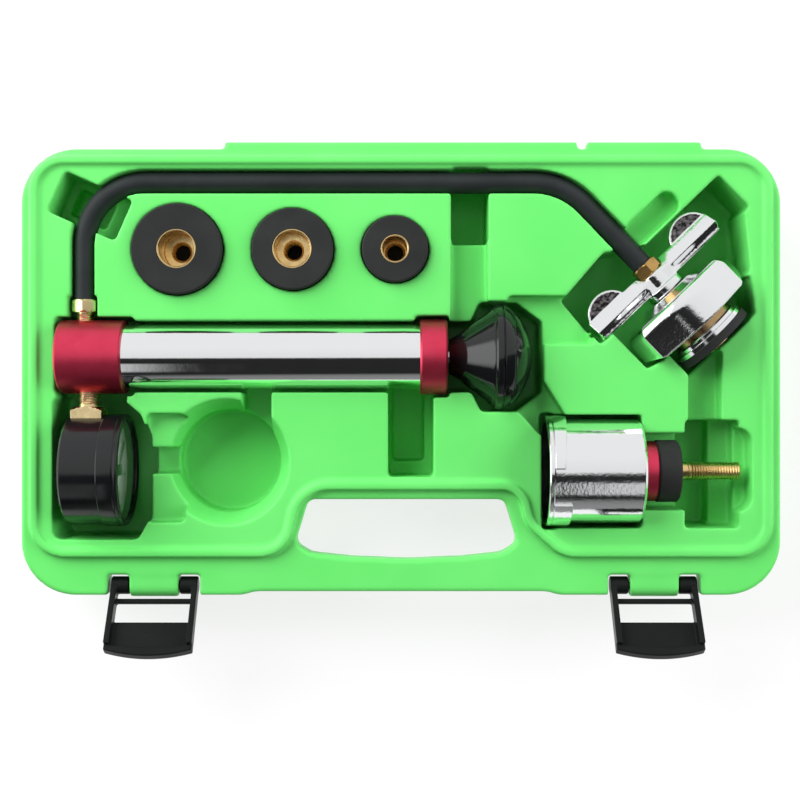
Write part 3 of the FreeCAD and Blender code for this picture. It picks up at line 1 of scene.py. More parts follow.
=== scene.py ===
"""Radiator pressure tester in its moulded case base, dressed for rendering.

The CAD nodes keep their places. Visual pieces with rounded edges, threads and chamfers stand in
for some of them. Profiles are in mm, everything that Blender gets is in metres.
"""
import math

import bmesh
import bpy
from mathutils import Matrix, Vector


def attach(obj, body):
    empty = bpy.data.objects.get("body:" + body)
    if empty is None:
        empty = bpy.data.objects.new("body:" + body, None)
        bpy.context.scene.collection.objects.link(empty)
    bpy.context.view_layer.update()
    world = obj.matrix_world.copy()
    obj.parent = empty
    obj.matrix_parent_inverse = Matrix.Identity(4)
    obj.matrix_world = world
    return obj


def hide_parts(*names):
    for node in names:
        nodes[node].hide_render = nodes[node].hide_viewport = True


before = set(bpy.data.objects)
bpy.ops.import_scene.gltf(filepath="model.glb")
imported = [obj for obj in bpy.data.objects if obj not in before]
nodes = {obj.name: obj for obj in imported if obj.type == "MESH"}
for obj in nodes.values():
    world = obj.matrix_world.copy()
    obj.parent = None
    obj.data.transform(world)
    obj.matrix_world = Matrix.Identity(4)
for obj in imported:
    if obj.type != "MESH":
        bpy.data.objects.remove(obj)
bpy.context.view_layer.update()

MM = 0.001
TAU = 2 * math.pi
QUARTER = math.pi / 2


def placed(x, y, z, turn=0.0, axis="Z"):
    """A local frame at a spot in mm of the shared frame, turned about one axis."""
    return Matrix.Translation(Vector((x, y, z)) * MM) @ Matrix.Rotation(turn, 4, axis)


# Each turned piece is drawn along the X axis of its own local frame.
MID_Z = 39.0
PUMP = placed(-189.0, 8.5, MID_Z)
GAUGE = placed(-184.4, -54.4, MID_Z)
NECK = placed(79.8, -55.0, MID_Z)
ADAPTER = placed(134.3, 59.6, MID_Z, math.radians(-46.0))
HEAD_PORT = placed(-175.8, 40.2, MID_Z, -QUARTER)
GAUGE_PORT = placed(-173.6, -28.6, MID_Z, QUARTER)


# ---------------------------------------------------------------- materials

class Look:
    """A procedural material: one Principled shader with nodes that feed it.

    Colours are linear. Noise scales are features per metre, depths are metres.
    """

    def __init__(self, name, color, rough, metal=0.0, **uniform):
        self.material = bpy.data.materials.new(name)
        self.material.use_nodes = True
        self.tree = self.material.node_tree
        self.shader = self.tree.nodes["Principled BSDF"]
        self.set("Base Color", (*color, 1.0))
        self.set("Roughness", rough)
        self.set("Metallic", metal)
        for socket, value in uniform.items():
            self.set(socket.replace("_", " "), value)
        self.place = self.add("ShaderNodeTexCoord").outputs["Object"]

    def set(self, socket, value):
        """A value that is the same all over the surface goes on the shader's own socket."""
        self.shader.inputs[socket].default_value = value

    def add(self, kind, links=None, **settings):
        node = self.tree.nodes.new(kind)
        for name, value in settings.items():
            setattr(node, name, value)
        for socket, value in (links or {}).items():
            if isinstance(value, bpy.types.NodeSocket):
                self.tree.links.new(value, node.inputs[socket])
            else:
                node.inputs[socket].default_value = value
        return node

    def noise(self, scale, detail=4.0, roughness=0.55, stretch=(1, 1, 1)):
        """Noise over the piece, finer along the axes that stretch multiplies."""
        spot = self.add("ShaderNodeMapping", {"Vector": self.place, "Scale": stretch})
        return self.add("ShaderNodeTexNoise", {
            "Vector": spot.outputs["Vector"], "Scale": scale, "Detail": detail,
            "Roughness": roughness}).outputs["Fac"]

    def tint(self, factor, low, high, start=0.3, end=0.7):
        """Base colour that drifts between two colours as the factor goes from start to end."""
        node = self.add("ShaderNodeValToRGB", {"Fac": factor})
        set_stops(node.color_ramp.elements, ((start, low), (end, high)))
        self.link(node.outputs["Color"], "Base Color")

    def rough(self, factor, low, high, start=0.3, end=0.7):
        """Roughness that drifts between two values as the factor goes from start to end."""
        node = self.add("ShaderNodeMapRange", {
            "Value": factor, "From Min": start, "From Max": end, "To Min": low,
            "To Max": high})
        self.link(node.outputs["Result"], "Roughness")

    def link(self, output, socket):
        self.tree.links.new(output, self.shader.inputs[socket])

    def relief(self, *layers, edge=0.0):
        """Bumps laid over each other, each (height, depth in metres), on softened edges."""
        normal = None
        if edge:
            normal = self.add("ShaderNodeBevel", {"Radius": edge}, samples=6).outputs["Normal"]
        for height, depth in layers:
            links = {"Height": height, "Distance": depth, "Strength": 1.0}
            if normal:
                links["Normal"] = normal
            normal = self.add("ShaderNodeBump", links).outputs["Normal"]
        self.link(normal, "Normal")


def set_stops(elements, stops):
    """Fills a colour ramp with (position, colour) stops."""
    while len(elements) < len(stops):
        elements.new(0.5)
    for element, (position, color) in zip(elements, stops):
        element.position = position
        element.color = (*color, 1.0)


def scaled(color, factor):
    return tuple(channel * factor for channel in color)


def green_plastic():
    look = Look("case_green", (0.115, 0.62, 0.125), 0.40, Specular_IOR_Level=0.5)
    cloud = look.noise(18, 3)
    look.tint(cloud, (0.105, 0.605, 0.115), (0.125, 0.635, 0.135))
    look.rough(look.noise(60, 4), 0.36, 0.50)
    look.relief((look.noise(1500, 2), 0.00003), (look.noise(35, 2), 0.00018))
    return look.material


def chrome(name, low, high, edge, wave, ripple):
    """Chrome plate; wave and ripple are the depths of its slow and its fine unevenness."""
    look = Look(name, (0.90, 0.91, 0.92), low, 1.0)
    look.rough(look.noise(70, 5), low, high, 0.35, 0.75)
    look.relief((look.noise(160, 3), wave), (look.noise(620, 3), ripple), edge=edge)
    return look.material


def anodised():
    """Turned aluminium, its fine marks running round each piece's X axis."""
    stretch = (12, 1, 1)
    look = Look("red_anodised", (0.84, 0.066, 0.135), 0.32, 1.0)
    look.tint(look.noise(120, 3), (0.81, 0.060, 0.125), (0.87, 0.072, 0.145))
    look.rough(look.noise(400, 2, stretch=stretch), 0.38, 0.50)
    look.relief((look.noise(1200, 2, stretch=stretch), 0.00002), edge=0.0005)
    return look.material


def brass(name, color, rough):
    look = Look(name, color, rough, 1.0)
    look.tint(look.noise(90, 5), scaled(color, 0.82), color)
    look.rough(look.noise(260, 4), rough * 0.8, rough * 1.5)
    look.relief((look.noise(900, 3), 0.00003), edge=0.0003)
    return look.material


def rubber(name, color, rough):
    look = Look(name, color, rough, Specular_IOR_Level=0.35)
    look.tint(look.noise(45, 5), color, scaled(color, 1.5))
    look.relief((look.noise(700, 5, 0.65), 0.00005), edge=0.0004)
    return look.material


def gloss_black(name, rough):
    look = Look(name, (0.005, 0.0055, 0.006), rough, Specular_IOR_Level=0.5)
    look.rough(look.noise(70, 4), rough * 0.8, rough * 1.7)
    look.relief((look.noise(120, 2), 0.00003), edge=0.0005)
    return look.material


def moulded_black():
    """The latches' satin plastic."""
    look = Look("latch_black", (0.006, 0.007, 0.007), 0.35, Specular_IOR_Level=0.12)
    look.tint(look.noise(40, 3), (0.005, 0.006, 0.006), (0.008, 0.009, 0.009))
    look.rough(look.noise(90, 4), 0.26, 0.40)
    look.relief((look.noise(900, 3), 0.00003), edge=0.0006)
    return look.material


def cast_recess():
    """The coarse, darkened metal in the wing handle's hollows."""
    look = Look("cast_recess", (0.10, 0.09, 0.10), 0.45, 0.9)
    look.tint(look.noise(420, 5), (0.02, 0.018, 0.02), (0.30, 0.27, 0.28), 0.42, 0.66)
    look.relief((look.noise(700, 4), 0.0003))
    return look.material


def glass():
    look = Look("clear_lens", (0.97, 0.99, 0.98), 0.03, Transmission_Weight=1.0, IOR=1.45)
    look.rough(look.noise(90, 3), 0.01, 0.05)
    return look.material


def paint(name, color, rough=0.5):
    look = Look(name, color, rough)
    look.tint(look.noise(60, 3), scaled(color, 0.94), color)
    look.relief((look.noise(900, 2), 0.00002))
    return look.material


def steel():
    """Ground steel, its fine marks running along each piece's X axis."""
    look = Look("steel", (0.55, 0.55, 0.56), 0.25, 1.0)
    look.rough(look.noise(400, 3, stretch=(1, 8, 8)), 0.18, 0.34)
    look.relief((look.noise(900, 2), 0.00002), edge=0.0003)
    return look.material


GREEN = green_plastic()
CHROME = chrome("chrome_plate", 0.035, 0.11, 0.0004, wave=0.000012, ripple=0.000006)
CAST_CHROME = chrome("chrome_cast", 0.05, 0.14, 0.0007, wave=0.00004, ripple=0.00006)
RED = anodised()
BRASS = brass("brass", (1.0, 0.80, 0.43), 0.26)
STUD_BRASS = brass("stud_brass", (0.93, 0.67, 0.30), 0.26)
# The same brass as the other fittings, with its colour darkened as painted shade for the hexagon
# at the cap end.
BRASS_PAINTED_SHADE = brass("brass_painted_shade", (0.66, 0.40, 0.14), 0.30)
BRONZE = brass("bronze", (0.50, 0.34, 0.17), 0.22)
RUBBER = rubber("rubber_black", (0.014, 0.0145, 0.0145), 0.72)
HOSE = rubber("hose_rubber", (0.011, 0.013, 0.014), 0.50)
GLOSS = gloss_black("black_plastic", 0.07)
ENAMEL = gloss_black("black_enamel", 0.14)
LATCH = moulded_black()
RECESS = cast_recess()
GLASS = glass()
DIAL = paint("dial_white", (0.86, 0.87, 0.84))
INK = paint("needle_black", (0.015, 0.015, 0.015))
STEEL = steel()
NYLON = paint("white_plastic", (0.78, 0.76, 0.70), 0.45)

# The look that each CAD node wears wherever no visual piece replaces it.
CAD_LOOKS = {
    CHROME: ("pump_tube", "seal_plate"),
    CAST_CHROME: ("neck_cup",),
    RED: ("pump_head", "end_cap", "neck_collar"),
    BRASS: ("gauge_stem", "valve_seat", "cap_spindle", "cap_retainer", "gauge_movement",
            "gauge_sector", "hose_nipple_head", "hose_nipple_cap", "neck_nut"),
    STUD_BRASS: ("insert_large", "insert_medium", "insert_small", "neck_stud"),
    BRONZE: ("spring_cup", "gauge_bourdon"),
    RUBBER: ("tube_washer", "piston_seal", "cap_seal", "neck_bung", "stopper_large",
             "stopper_medium", "stopper_small"),
    HOSE: ("hose",),
    GLOSS: ("knob",),
    ENAMEL: ("gauge_case", "gauge_bezel"),
    LATCH: ("latch_left", "latch_right"),
    GLASS: ("gauge_lens",),
    DIAL: ("gauge_dial",),
    INK: ("gauge_needle",),
    STEEL: ("check_ball", "check_spring", "piston_rod", "cap_spring"),
    NYLON: ("rod_bush", "piston"),
    GREEN: ("case_tray",),
}
for look, names in CAD_LOOKS.items():
    for name in names:
        data = nodes[name].data
        data.materials.clear()
        data.materials.append(look)


# ---------------------------------------------------------------- mesh helpers

def linked(name, data):
    """A new object in the scene."""
    item = bpy.data.objects.new(name, data)
    bpy.context.scene.collection.objects.link(item)
    return item


def mesh_of(name, form):
    """Turns a bmesh into a mesh and frees it."""
    mesh = bpy.data.meshes.new(name)
    form.to_mesh(mesh)
    form.free()
    return mesh


def made(name, mesh, look, body, slot, *replaced, angle=35.0):
    """Puts a finished mesh into the scene, riding on its body.

    Edges that turn by more than angle degrees are shaded sharp.
    """
    piece = linked(name, mesh)
    mesh.materials.append(look)
    for face in mesh.polygons:
        face.use_smooth = True
    mesh.set_sharp_from_angle(angle=math.radians(angle))
    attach(piece, body)
    if replaced:
        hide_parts(*replaced)
    return piece


def softened(points, radius):
    """A profile of (x, r) corners in mm with every sharp corner rounded."""
    gentle_turn, longest_share, steps = math.radians(14), 0.45, 3
    result = [points[0]]
    for before, corner, after in zip(points, points[1:], points[2:]):
        a, b, c = Vector(before), Vector(corner), Vector(after)
        into, out = (b - a), (c - b)
        turn = into.angle(out) if into.length and out.length else 0.0
        if turn < gentle_turn:
            result.append(corner)
            continue
        reach = min(radius * math.tan(turn / 2), longest_share * into.length,
                    longest_share * out.length)
        start = b - into.normalized() * reach
        end = b + out.normalized() * reach
        for step in range(steps + 1):
            t = step / steps
            spot = start * (1 - t) ** 2 + b * 2 * t * (1 - t) + end * t ** 2
            result.append((spot.x, spot.y))
    result.append(points[-1])
    return result


def surface(profile, place, segments, radius_at=None):
    """Turns an (x, r) profile in mm about X; radius_at(x, r, angle) may reshape it.

    A profile that doesn't begin and end on the axis is closed to a ring.
    """
    on_axis = 1e-6
    form = bmesh.new()
    rings = []
    for x, r in profile:
        if r < on_axis:
            rings.append([form.verts.new(place @ (Vector((x, 0, 0)) * MM))])
            continue
        ring = []
        for step in range(segments):
            angle = TAU * step / segments
            reach = radius_at(x, r, angle) if radius_at else r
            spot = Vector((x, reach * math.cos(angle), reach * math.sin(angle))) * MM
            ring.append(form.verts.new(place @ spot))
        rings.append(ring)
    pairs = list(zip(rings, rings[1:]))
    if profile[0][1] > on_axis or profile[-1][1] > on_axis:
        pairs.append((rings[-1], rings[0]))
    for here, there in pairs:
        for step in range(segments):
            after = (step + 1) % segments
            corners = []
            for vert in (here[step % len(here)], there[step % len(there)],
                         there[after % len(there)], here[after % len(here)]):
                if vert not in corners:
                    corners.append(vert)
            if len(corners) > 2:
                form.faces.new(corners)
    bmesh.ops.recalc_face_normals(form, faces=form.faces)
    return mesh_of("turned", form)


def steps_between(start, end, count):
    """count + 1 evenly spaced values, both ends included."""
    return [start + (end - start) * step / count for step in range(count + 1)]


def threaded(start, end, pitch, depth):
    """A radius_at rule for surface(): a screw thread cut into the wall from start to end."""
    def radius_at(x, r, angle):
        if x < start or x > end:
            return r
        phase = (x / pitch - angle / TAU) % 1.0
        fade = min(1.0, (x - start) / pitch, (end - x) / pitch)
        return r - depth * abs(2 * phase - 1) * fade
    return radius_at


def joined(name, meshes):
    """One mesh from several."""
    form = bmesh.new()
    for mesh in meshes:
        form.from_mesh(mesh)
    return mesh_of(name, form)


def islands(form):
    """The separate shells of a bmesh, each as its faces."""
    left = set(form.faces)
    shells = []
    while left:
        stack = [left.pop()]
        shell = []
        while stack:
            face = stack.pop()
            shell.append(face)
            for edge in face.edges:
                for other in edge.link_faces:
                    if other in left:
                        left.remove(other)
                        stack.append(other)
        shells.append(shell)
    return shells


def shell_length(shell):
    """Length of a shell along X, measured between the middles of its faces."""
    middles = [face.calc_center_median().x for face in shell]
    return max(middles) - min(middles)


def remeshed(name, source, voxel, smooth, keep, outer_only=False):
    """A softened copy of a CAD node: its edges rounded as a moulding's or casting's are.

    voxel is in mm, smooth is a count of passes, keep is the share of faces kept, and
    outer_only leaves out the surfaces of closed hollows.
    """
    weld_distance = 1e-6
    form = bmesh.new()
    form.from_mesh(source.data)
    bmesh.ops.remove_doubles(form, verts=form.verts, dist=weld_distance)
    if outer_only:
        shells = islands(form)
        longest = max(shells, key=shell_length)
        inner = [face for shell in shells if shell is not longest for face in shell]
        bmesh.ops.delete(form, geom=inner, context="FACES")
    carrier = linked(name + "_carrier", mesh_of(name, form))
    remesh = carrier.modifiers.new("remesh", "REMESH")
    remesh.mode = "VOXEL"
    remesh.voxel_size = voxel * MM
    remesh.adaptivity = 0.0
    soften = carrier.modifiers.new("soften", "SMOOTH")
    soften.factor = 0.5
    soften.iterations = smooth
    reduce = carrier.modifiers.new("reduce", "DECIMATE")
    reduce.ratio = keep
    graph = bpy.context.evaluated_depsgraph_get()
    result = bpy.data.meshes.new_from_object(carrier.evaluated_get(graph))
    bpy.data.objects.remove(carrier)
    result.materials.clear()
    return result


# ---------------------------------------------------------------- case base

def dress_case():
    """The case base with a blow moulding's rounded edges."""
    voxel = 0.9
    shape = remeshed("tray_skin", nodes["case_tray"], voxel, 7, keep=0.5, outer_only=True)
    made("tray_skin", shape, GREEN, "case", "case_green", "case_tray", angle=75)


def dress_latches():
    """The latches with a moulding's rounded edges and a bowed lip at the free end."""
    voxel = 0.42
    lean = math.radians(36.0)
    outward = Vector((0.0, -math.cos(lean), math.sin(lean)))
    lip_start, length, half_width = 24.0, 44.0, 24.0
    middle_bow, corner_bow = 0.8, 3.6
    for side, middle in (("left", -137.0), ("right", 140.5)):
        node = "latch_" + side
        shape = remeshed("moulded_" + node, nodes[node], voxel, 5, keep=0.4)
        pivot = Vector((middle, -118.8, 37.6))
        for vert in shape.vertices:
            spot = vert.co / MM - pivot
            along = (spot.dot(outward) - lip_start) / (length - lip_start)
            if along > 0.0:
                bow = middle_bow + corner_bow * (spot.x / half_width) ** 2
                vert.co -= outward * (bow * min(along, 1.0) ** 2 * MM)
        made("moulded_" + node, shape, LATCH, node, "latch_black", node, angle=50)


# ---------------------------------------------------------------- pump

def dress_pump():
    """The knob: neck, cone, rim with two waist lines, and rounded end."""
    rim = 29.2
    profile = softened([
        (215.75, 4.2), (215.75, 9.4), (216.6, 10.0), (222.3, 13.4), (239.0, 26.6), (240.0, 27.2),
        (240.3, 27.2), (240.3, 28.0), (241.4, rim - 0.3), (244.6, rim), (244.7, rim - 0.9),
        (245.3, rim - 0.9), (245.5, rim - 0.2), (248.4, 27.9), (250.6, 26.4), (250.7, 25.9),
        (251.2, 25.7), (254.5, 22.4), (257.6, 17.4), (260.2, 11.0), (261.5, 5.0),
        (261.85, 0.0)], 0.5)
    made("knob_turned", surface(profile, PUMP, 160), GLOSS, "plunger", "black_plastic", "knob",
         angle=28)


# ---------------------------------------------------------------- gauge

def dial_marks():
    """Plain scale on the dial: a tick for each half, a long tick and a number for each five."""
    dial_front, number_radius, outer = 24.35, 15.6, 24.0
    count, per_number, units_per_number = 50, 10, 5
    first, sweep = -45, 270
    meshes = []
    for step in range(count + 1):
        angle = math.radians(first - sweep * step / count)
        is_long = step % per_number == 0
        inner, half = (19.5, 0.45) if is_long else (22.0, 0.16)
        form = bmesh.new()
        corners = []
        for radius, side in ((inner, -half), (inner, half), (outer, half), (outer, -half)):
            spot = Vector((dial_front, radius * math.cos(angle) - side * math.sin(angle),
                           radius * math.sin(angle) + side * math.cos(angle)))
            corners.append(form.verts.new(GAUGE @ (spot * MM)))
        form.faces.new(corners)
        meshes.append(mesh_of("tick", form))
        if is_long:
            number = str(step // per_number * units_per_number)
            meshes.append(number_mesh(number, angle, number_radius, dial_front))
    return joined("dial_marks", meshes)


def number_mesh(words, angle, radius, depth):
    """A number that stands upright for someone who faces the dial, stem down."""
    curve = bpy.data.curves.new("number", "FONT")
    curve.body = words
    curve.size = 4.6 * MM
    curve.align_x = "CENTER"
    curve.align_y = "CENTER"
    text = linked("number", curve)
    mesh = bpy.data.meshes.new_from_object(text)
    bpy.data.objects.remove(text)
    centre = Vector((depth, radius * math.cos(angle), radius * math.sin(angle))) * MM
    upright = Matrix(((0, 0, 1, 0), (0, -1, 0, 0), (1, 0, 0, 0), (0, 0, 0, 1)))
    mesh.transform(GAUGE @ Matrix.Translation(centre) @ upright)
    return mesh


def dress_gauge():
    """The scale on the dial and the bezel with its rolled lip."""
    made("dial_marks", dial_marks(), INK, "tester", "needle_black")
    bezel = softened([
        (20.7, 30.25), (20.7, 30.6), (21.2, 31.0), (29.2, 31.0), (29.6, 30.5), (30.4, 30.5),
        (30.8, 31.0), (32.1, 30.9), (32.7, 29.9), (32.7, 28.6), (32.2, 27.8), (31.1, 26.9),
        (31.1, 30.25)], 0.35)
    made("bezel_rolled", surface(bezel, GAUGE, 128), ENAMEL, "tester", "black_enamel",
         "gauge_bezel", angle=30)


# ---------------------------------------------------------------- brass fittings

def sided(sides, flats, length):
    """A radius_at rule: a square or hexagonal bar with its corners turned down at both ends."""
    inradius = flats / 2
    untouched, chamfer_rise, chamfer_slope = 0.98 * inradius, 0.15, 1.7

    def radius_at(x, r, angle):
        if r < untouched:
            return r
        sector = (angle + math.pi / sides) % (TAU / sides) - math.pi / sides
        bar = inradius / math.cos(sector)
        from_end = max(0.0, min(x, length - x))
        return min(bar, inradius + chamfer_rise + from_end * chamfer_slope)
    return radius_at


def fitting(place, tail, sides, flats, bar, bar_steps, spigot, spigot_end, pitch, depth):
    """A bored tail, a sided bar from 0 to bar, and a threaded spigot of radius spigot."""
    bore, tail_radius, runout = 1.5, 2.9, 0.4
    profile = [(tail, bore), (tail, tail_radius), (0.0, tail_radius), (0.0, flats / 2)]
    profile += [(x, flats / 2) for x in steps_between(0.0, bar, bar_steps)[1:]]
    profile += [(bar, spigot)]
    profile += [(x, spigot) for x in steps_between(bar, spigot_end, 60)[1:]]
    profile += [(spigot_end, bore)]
    milled = sided(sides, flats, bar)
    cut = threaded(bar + runout, spigot_end, pitch, depth)
    return surface(profile, place, 72, lambda x, r, angle: cut(x, milled(x, r, angle), angle))


def dress_fittings():
    """Hose ends with a hexagon, and the gauge's square with its thread."""
    for name, place, look, flats, bar, spigot_end, node in (
            ("nipple_head", HEAD_PORT, BRASS, 13.0, 7.0, 20.7, "hose_nipple_head"),
            # The hexagon at the cap end wears brass with painted shade in its colour.
            ("nipple_cap", ADAPTER, BRASS_PAINTED_SHADE, 14.0, 6.6, 16.1, "hose_nipple_cap")):
        shape = fitting(place, tail=-12.0, sides=6, flats=flats, bar=bar, bar_steps=10,
                        spigot=4.5, spigot_end=spigot_end, pitch=1.0, depth=0.28)
        made(name, shape, look, "hose_set", "brass", node, angle=25)
    stem = fitting(GAUGE_PORT, tail=-10.4, sides=4, flats=17.0, bar=9.4, bar_steps=14,
                   spigot=6.0, spigot_end=25.6, pitch=1.3, depth=0.35)
    made("stem_turned", stem, BRASS, "tester", "brass", "gauge_stem", angle=25)


# ---------------------------------------------------------------- adapters

def dress_shell():
    """The cap shell with a pressing's rounded edges and its shoulder pulled in."""
    to_local = ADAPTER.inverted()
    shell = remeshed("shell_pressed", nodes["cap_shell"], 0.4, 4, keep=0.4)
    core, shoulder_start, shoulder_end, pull = 14.0, 20.4, 30.5, 0.75
    for vert in shell.vertices:
        spot = to_local @ vert.co / MM
        reach = math.hypot(spot.y, spot.z)
        if spot.x < shoulder_end and reach > core:
            share = (shoulder_end - spot.x) / (shoulder_end - shoulder_start)
            pulled = core + (reach - core) * math.sqrt(1 - pull * min(share, 1.0) ** 2)
            spot.y *= pulled / reach
            spot.z *= pulled / reach
            vert.co = ADAPTER @ (spot * MM)
    made("shell_pressed", shell, CAST_CHROME, "cap_clamp", "chrome_plate", "cap_shell", angle=50)


def dress_wing():
    """The wing handle: a casting whose wings rise to a ridge, with coarse hollows in its lobes."""
    to_local = ADAPTER.inverted()
    wing = remeshed("wing_cast", nodes["wing_handle"], 0.4, 5, keep=0.6)
    foot, ridge, front, past_front = 3.0, 10.0, 15.6, 0.5
    plate_half, ridge_half, front_half = 2.0, 7.5, 3.3
    rib_foot, rib_bevel = 1.0, 2.75
    hub, hub_blend = 8.5, 5.0
    for vert in wing.vertices:
        spot = to_local @ vert.co / MM
        if foot < spot.x < front + past_front and abs(spot.y) > hub:
            cast = min(spot.x - rib_foot, ridge_half, ridge_half + front - rib_bevel - spot.x)
            if spot.x < ridge:
                share = (spot.x - foot) / (ridge - foot)
                wanted = plate_half + (ridge_half - plate_half) * share
            else:
                share = (spot.x - ridge) / (front - ridge)
                wanted = ridge_half + (front_half - ridge_half) * share
            blend = min((abs(spot.y) - hub) / hub_blend, 1.0)
            spot.z *= 1.0 + (wanted / cast - 1.0) * blend
            vert.co = ADAPTER @ (spot * MM)
    piece = made("wing_cast", wing, CAST_CHROME, "cap_clamp", "chrome_plate", "wing_handle",
                 angle=60)
    piece.data.materials.append(RECESS)
    lobe_x, lobe_y, rim_inside, recess_end, facing_up = 8.1, 31.2, 12.4, 2.6, 0.6
    for face in piece.data.polygons:
        spot = to_local @ face.center / MM
        from_lobe = math.hypot(spot.x - lobe_x, abs(spot.y) - lobe_y)
        if from_lobe < rim_inside and spot.x < recess_end and abs(face.normal.z) > facing_up:
            face.material_index = 1


def dress_stud():
    """The neck adapter's stud, threaded where it stands out of the bung."""
    start, end, bore, stud = 79.8, 108.6, 2.0, 5.0
    profile = [(43.8, bore), (43.8, stud), (73.85, stud), (73.85, 5.6), (75.3, 5.7), (79.4, 4.7)]
    profile += [(x, stud) for x in steps_between(start, end - 1.0, 150)]
    profile += [(end, 4.1), (end, bore)]
    rule = threaded(start, end - 0.6, 1.5, 0.62)
    made("stud_threaded", surface(profile, NECK, 60, rule), STUD_BRASS, "neck_adapter", "brass",
         "neck_stud", angle=20)


def dress_inserts():
    """The stoppers' brass inserts: a plain counterbore above a threaded hole."""
    low, top, hole, wall = 3.0, 32.0, 5.05, 1.0
    for size, x, bore, deep in (("large", -123.4, 9.7, 20.0), ("medium", -59.8, 9.7, 12.0),
                                ("small", -3.3, 6.7, 22.0)):
        floor = top - deep
        profile = [(low, bore + wall), (low, hole)]
        profile += [(spot, hole) for spot in steps_between(low + 0.3, floor - 0.8, 60)]
        profile += [(floor, 5.9), (floor, bore - 0.3), (floor + 0.3, bore), (top - 0.5, bore),
                    (top, bore + 0.5), (top, bore + wall)]
        place = placed(x, 67.6, 18.0, -QUARTER, "Y")
        rule = threaded(low, floor - 0.5, 1.5, 0.55)
        made("insert_turned_" + size, surface(profile, place, 64, rule), STUD_BRASS,
             "stopper_" + size, "brass", "insert_" + size, angle=25)


# ---------------------------------------------------------------- studio

WHITE = (1.0, 1.0, 1.0, 1.0)


def calc(tree, operation, a, b):
    """The output of a math node on two values or sockets."""
    node = tree.nodes.new("ShaderNodeMath")
    node.operation = operation
    for socket, value in zip(node.inputs, (a, b)):
        if isinstance(value, bpy.types.NodeSocket):
            tree.links.new(value, socket)
        else:
            socket.default_value = value
    return node.outputs[0]


def mixed(tree, share, first, second):
    """A shader that is first where the share is 0 and second where it is 1."""
    node = tree.nodes.new("ShaderNodeMixShader")
    for socket, output in zip(node.inputs, (share, first, second)):
        tree.links.new(output, socket)
    return node.outputs[0]


def paper_floor():
    """A white sheet that shows the camera only part of its shading, as an even backdrop does."""
    shade_kept = 0.22
    form = bmesh.new()
    bmesh.ops.create_grid(form, x_segments=1, y_segments=1, size=4.0)
    floor = linked("floor", mesh_of("floor", form))
    paper = bpy.data.materials.new("paper")
    paper.use_nodes = True
    tree = paper.node_tree
    matte = tree.nodes["Principled BSDF"]
    matte.inputs["Base Color"].default_value = (0.93, 0.93, 0.93, 1)
    matte.inputs["Roughness"].default_value = 0.9
    glow = tree.nodes.new("ShaderNodeEmission")
    glow.inputs["Strength"].default_value = 1.0
    rays = tree.nodes.new("ShaderNodeLightPath").outputs
    white = calc(tree, "MULTIPLY", rays["Is Camera Ray"], 1.0 - shade_kept)
    for ray in ("Is Transmission Ray", "Is Glossy Ray"):
        white = calc(tree, "MAXIMUM", white, rays[ray])
    sheet = mixed(tree, white, matte.outputs[0], glow.outputs[0])
    tree.links.new(sheet, tree.nodes["Material Output"].inputs["Surface"])
    floor.data.materials.append(paper)


def world_light():
    """Soft white light, a room for polished pieces to mirror, and white where nothing is hit."""
    world = bpy.data.worlds.new("studio")
    bpy.context.scene.world = world
    world.use_nodes = True
    tree = world.node_tree
    soft = tree.nodes["Background"]
    soft.inputs["Color"].default_value = WHITE
    soft.inputs["Strength"].default_value = 0.235
    room = tree.nodes.new("ShaderNodeBackground")
    tree.links.new(room_light(tree), room.inputs["Color"])
    backdrop = tree.nodes.new("ShaderNodeBackground")
    backdrop.inputs["Color"].default_value = WHITE
    rays = tree.nodes.new("ShaderNodeLightPath").outputs
    lit = mixed(tree, rays["Is Glossy Ray"], soft.outputs[0], room.outputs[0])
    direct = calc(tree, "MAXIMUM", rays["Is Camera Ray"], rays["Is Transmission Ray"])
    seen = mixed(tree, direct, lit, backdrop.outputs[0])
    tree.links.new(seen, tree.nodes["World Output"].inputs["Surface"])


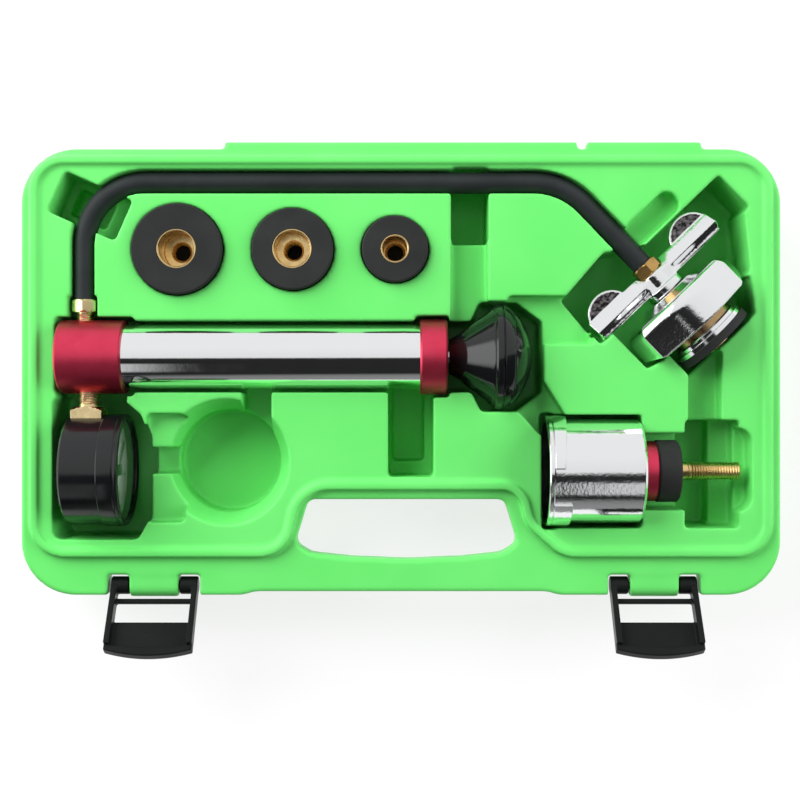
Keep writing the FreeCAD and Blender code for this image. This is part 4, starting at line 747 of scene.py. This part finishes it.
def room_light(tree):
    """Brightness of the room that polished pieces mirror: bright at the back, dark in front.

    A patch of light in front and a softbox at the left are added to it.
    """
    direction = tree.nodes.new("ShaderNodeTexCoord").outputs["Generated"]

    def along(axis):
        lean = tree.nodes.new("ShaderNodeVectorMath")
        lean.operation = "DOT_PRODUCT"
        lean.inputs[1].default_value = axis
        tree.links.new(direction, lean.inputs[0])
        return lean.outputs["Value"]

    def spread(value, start, end, low=0.0, high=1.0):
        node = tree.nodes.new("ShaderNodeMapRange")
        node.interpolation_type = "SMOOTHSTEP"
        for socket, number in zip(node.inputs[1:5], (start, end, low, high)):
            socket.default_value = number
        tree.links.new(value, node.inputs["Value"])
        return node.outputs["Result"]

    back = along((-0.16, 1.0, 0.0))
    ramp = tree.nodes.new("ShaderNodeValToRGB")
    tree.links.new(calc(tree, "ADD", calc(tree, "MULTIPLY", back, 0.5), 0.5), ramp.inputs["Fac"])
    levels = ((0.0, 0.26), (0.03, 0.20), (0.06, 0.02), (0.38, 0.02), (0.44, 0.03), (0.475, 0.80),
              (0.75, 0.88))
    bluish = 1.02
    set_stops(ramp.color_ramp.elements,
              [(position, (level, level, level * bluish)) for position, level in levels])
    side = calc(tree, "ABSOLUTE", calc(tree, "ADD", along((1.0, 0.0, 0.0)), 0.03), 0.0)
    patch_level, softbox_level = 0.62, 2.4
    patch = calc(tree, "MULTIPLY", spread(side, 0.12, 0.20), spread(back, -0.84, -0.74))
    patch = calc(tree, "MULTIPLY", patch, spread(side, 0.26, 0.36, 1.0, 0.0))
    patch = calc(tree, "MULTIPLY", patch, spread(back, -0.46, -0.36, patch_level, 0.0))
    softbox = spread(along((-0.95, 0.06, 0.31)), 0.90, 0.95, 0.0, softbox_level)
    return calc(tree, "ADD", calc(tree, "ADD", ramp.outputs["Color"], patch), softbox)


def lamp(name, spot, size, power):
    """A round lamp aimed at the origin that polished pieces don't mirror."""
    data = bpy.data.lights.new(name, "AREA")
    data.shape = "DISK"
    data.size = size
    data.energy = power
    light = linked(name, data)
    light.location = spot
    light.rotation_mode = "QUATERNION"
    light.rotation_quaternion = Vector(spot).to_track_quat("Z", "Y")
    light.visible_glossy = False


def overhead_camera():
    """Straight down on the case, as in the photograph."""
    data = bpy.data.cameras.new("camera")
    data.sensor_width = 36.0
    data.lens = 59.3
    camera = linked("camera", data)
    camera.location = (-0.00055, -0.0155, 0.773)
    bpy.context.scene.camera = camera
    bpy.context.scene.view_settings.view_transform = "Standard"


dress_case()
dress_latches()
dress_pump()
dress_gauge()
dress_fittings()
dress_shell()
dress_wing()
dress_stud()
dress_inserts()
paper_floor()
world_light()
lamp("key", (-1.15, 1.0, 0.85), size=1.7, power=67.0)
lamp("fill", (1.45, 0.15, 0.75), size=1.5, power=30.0)
overhead_camera()
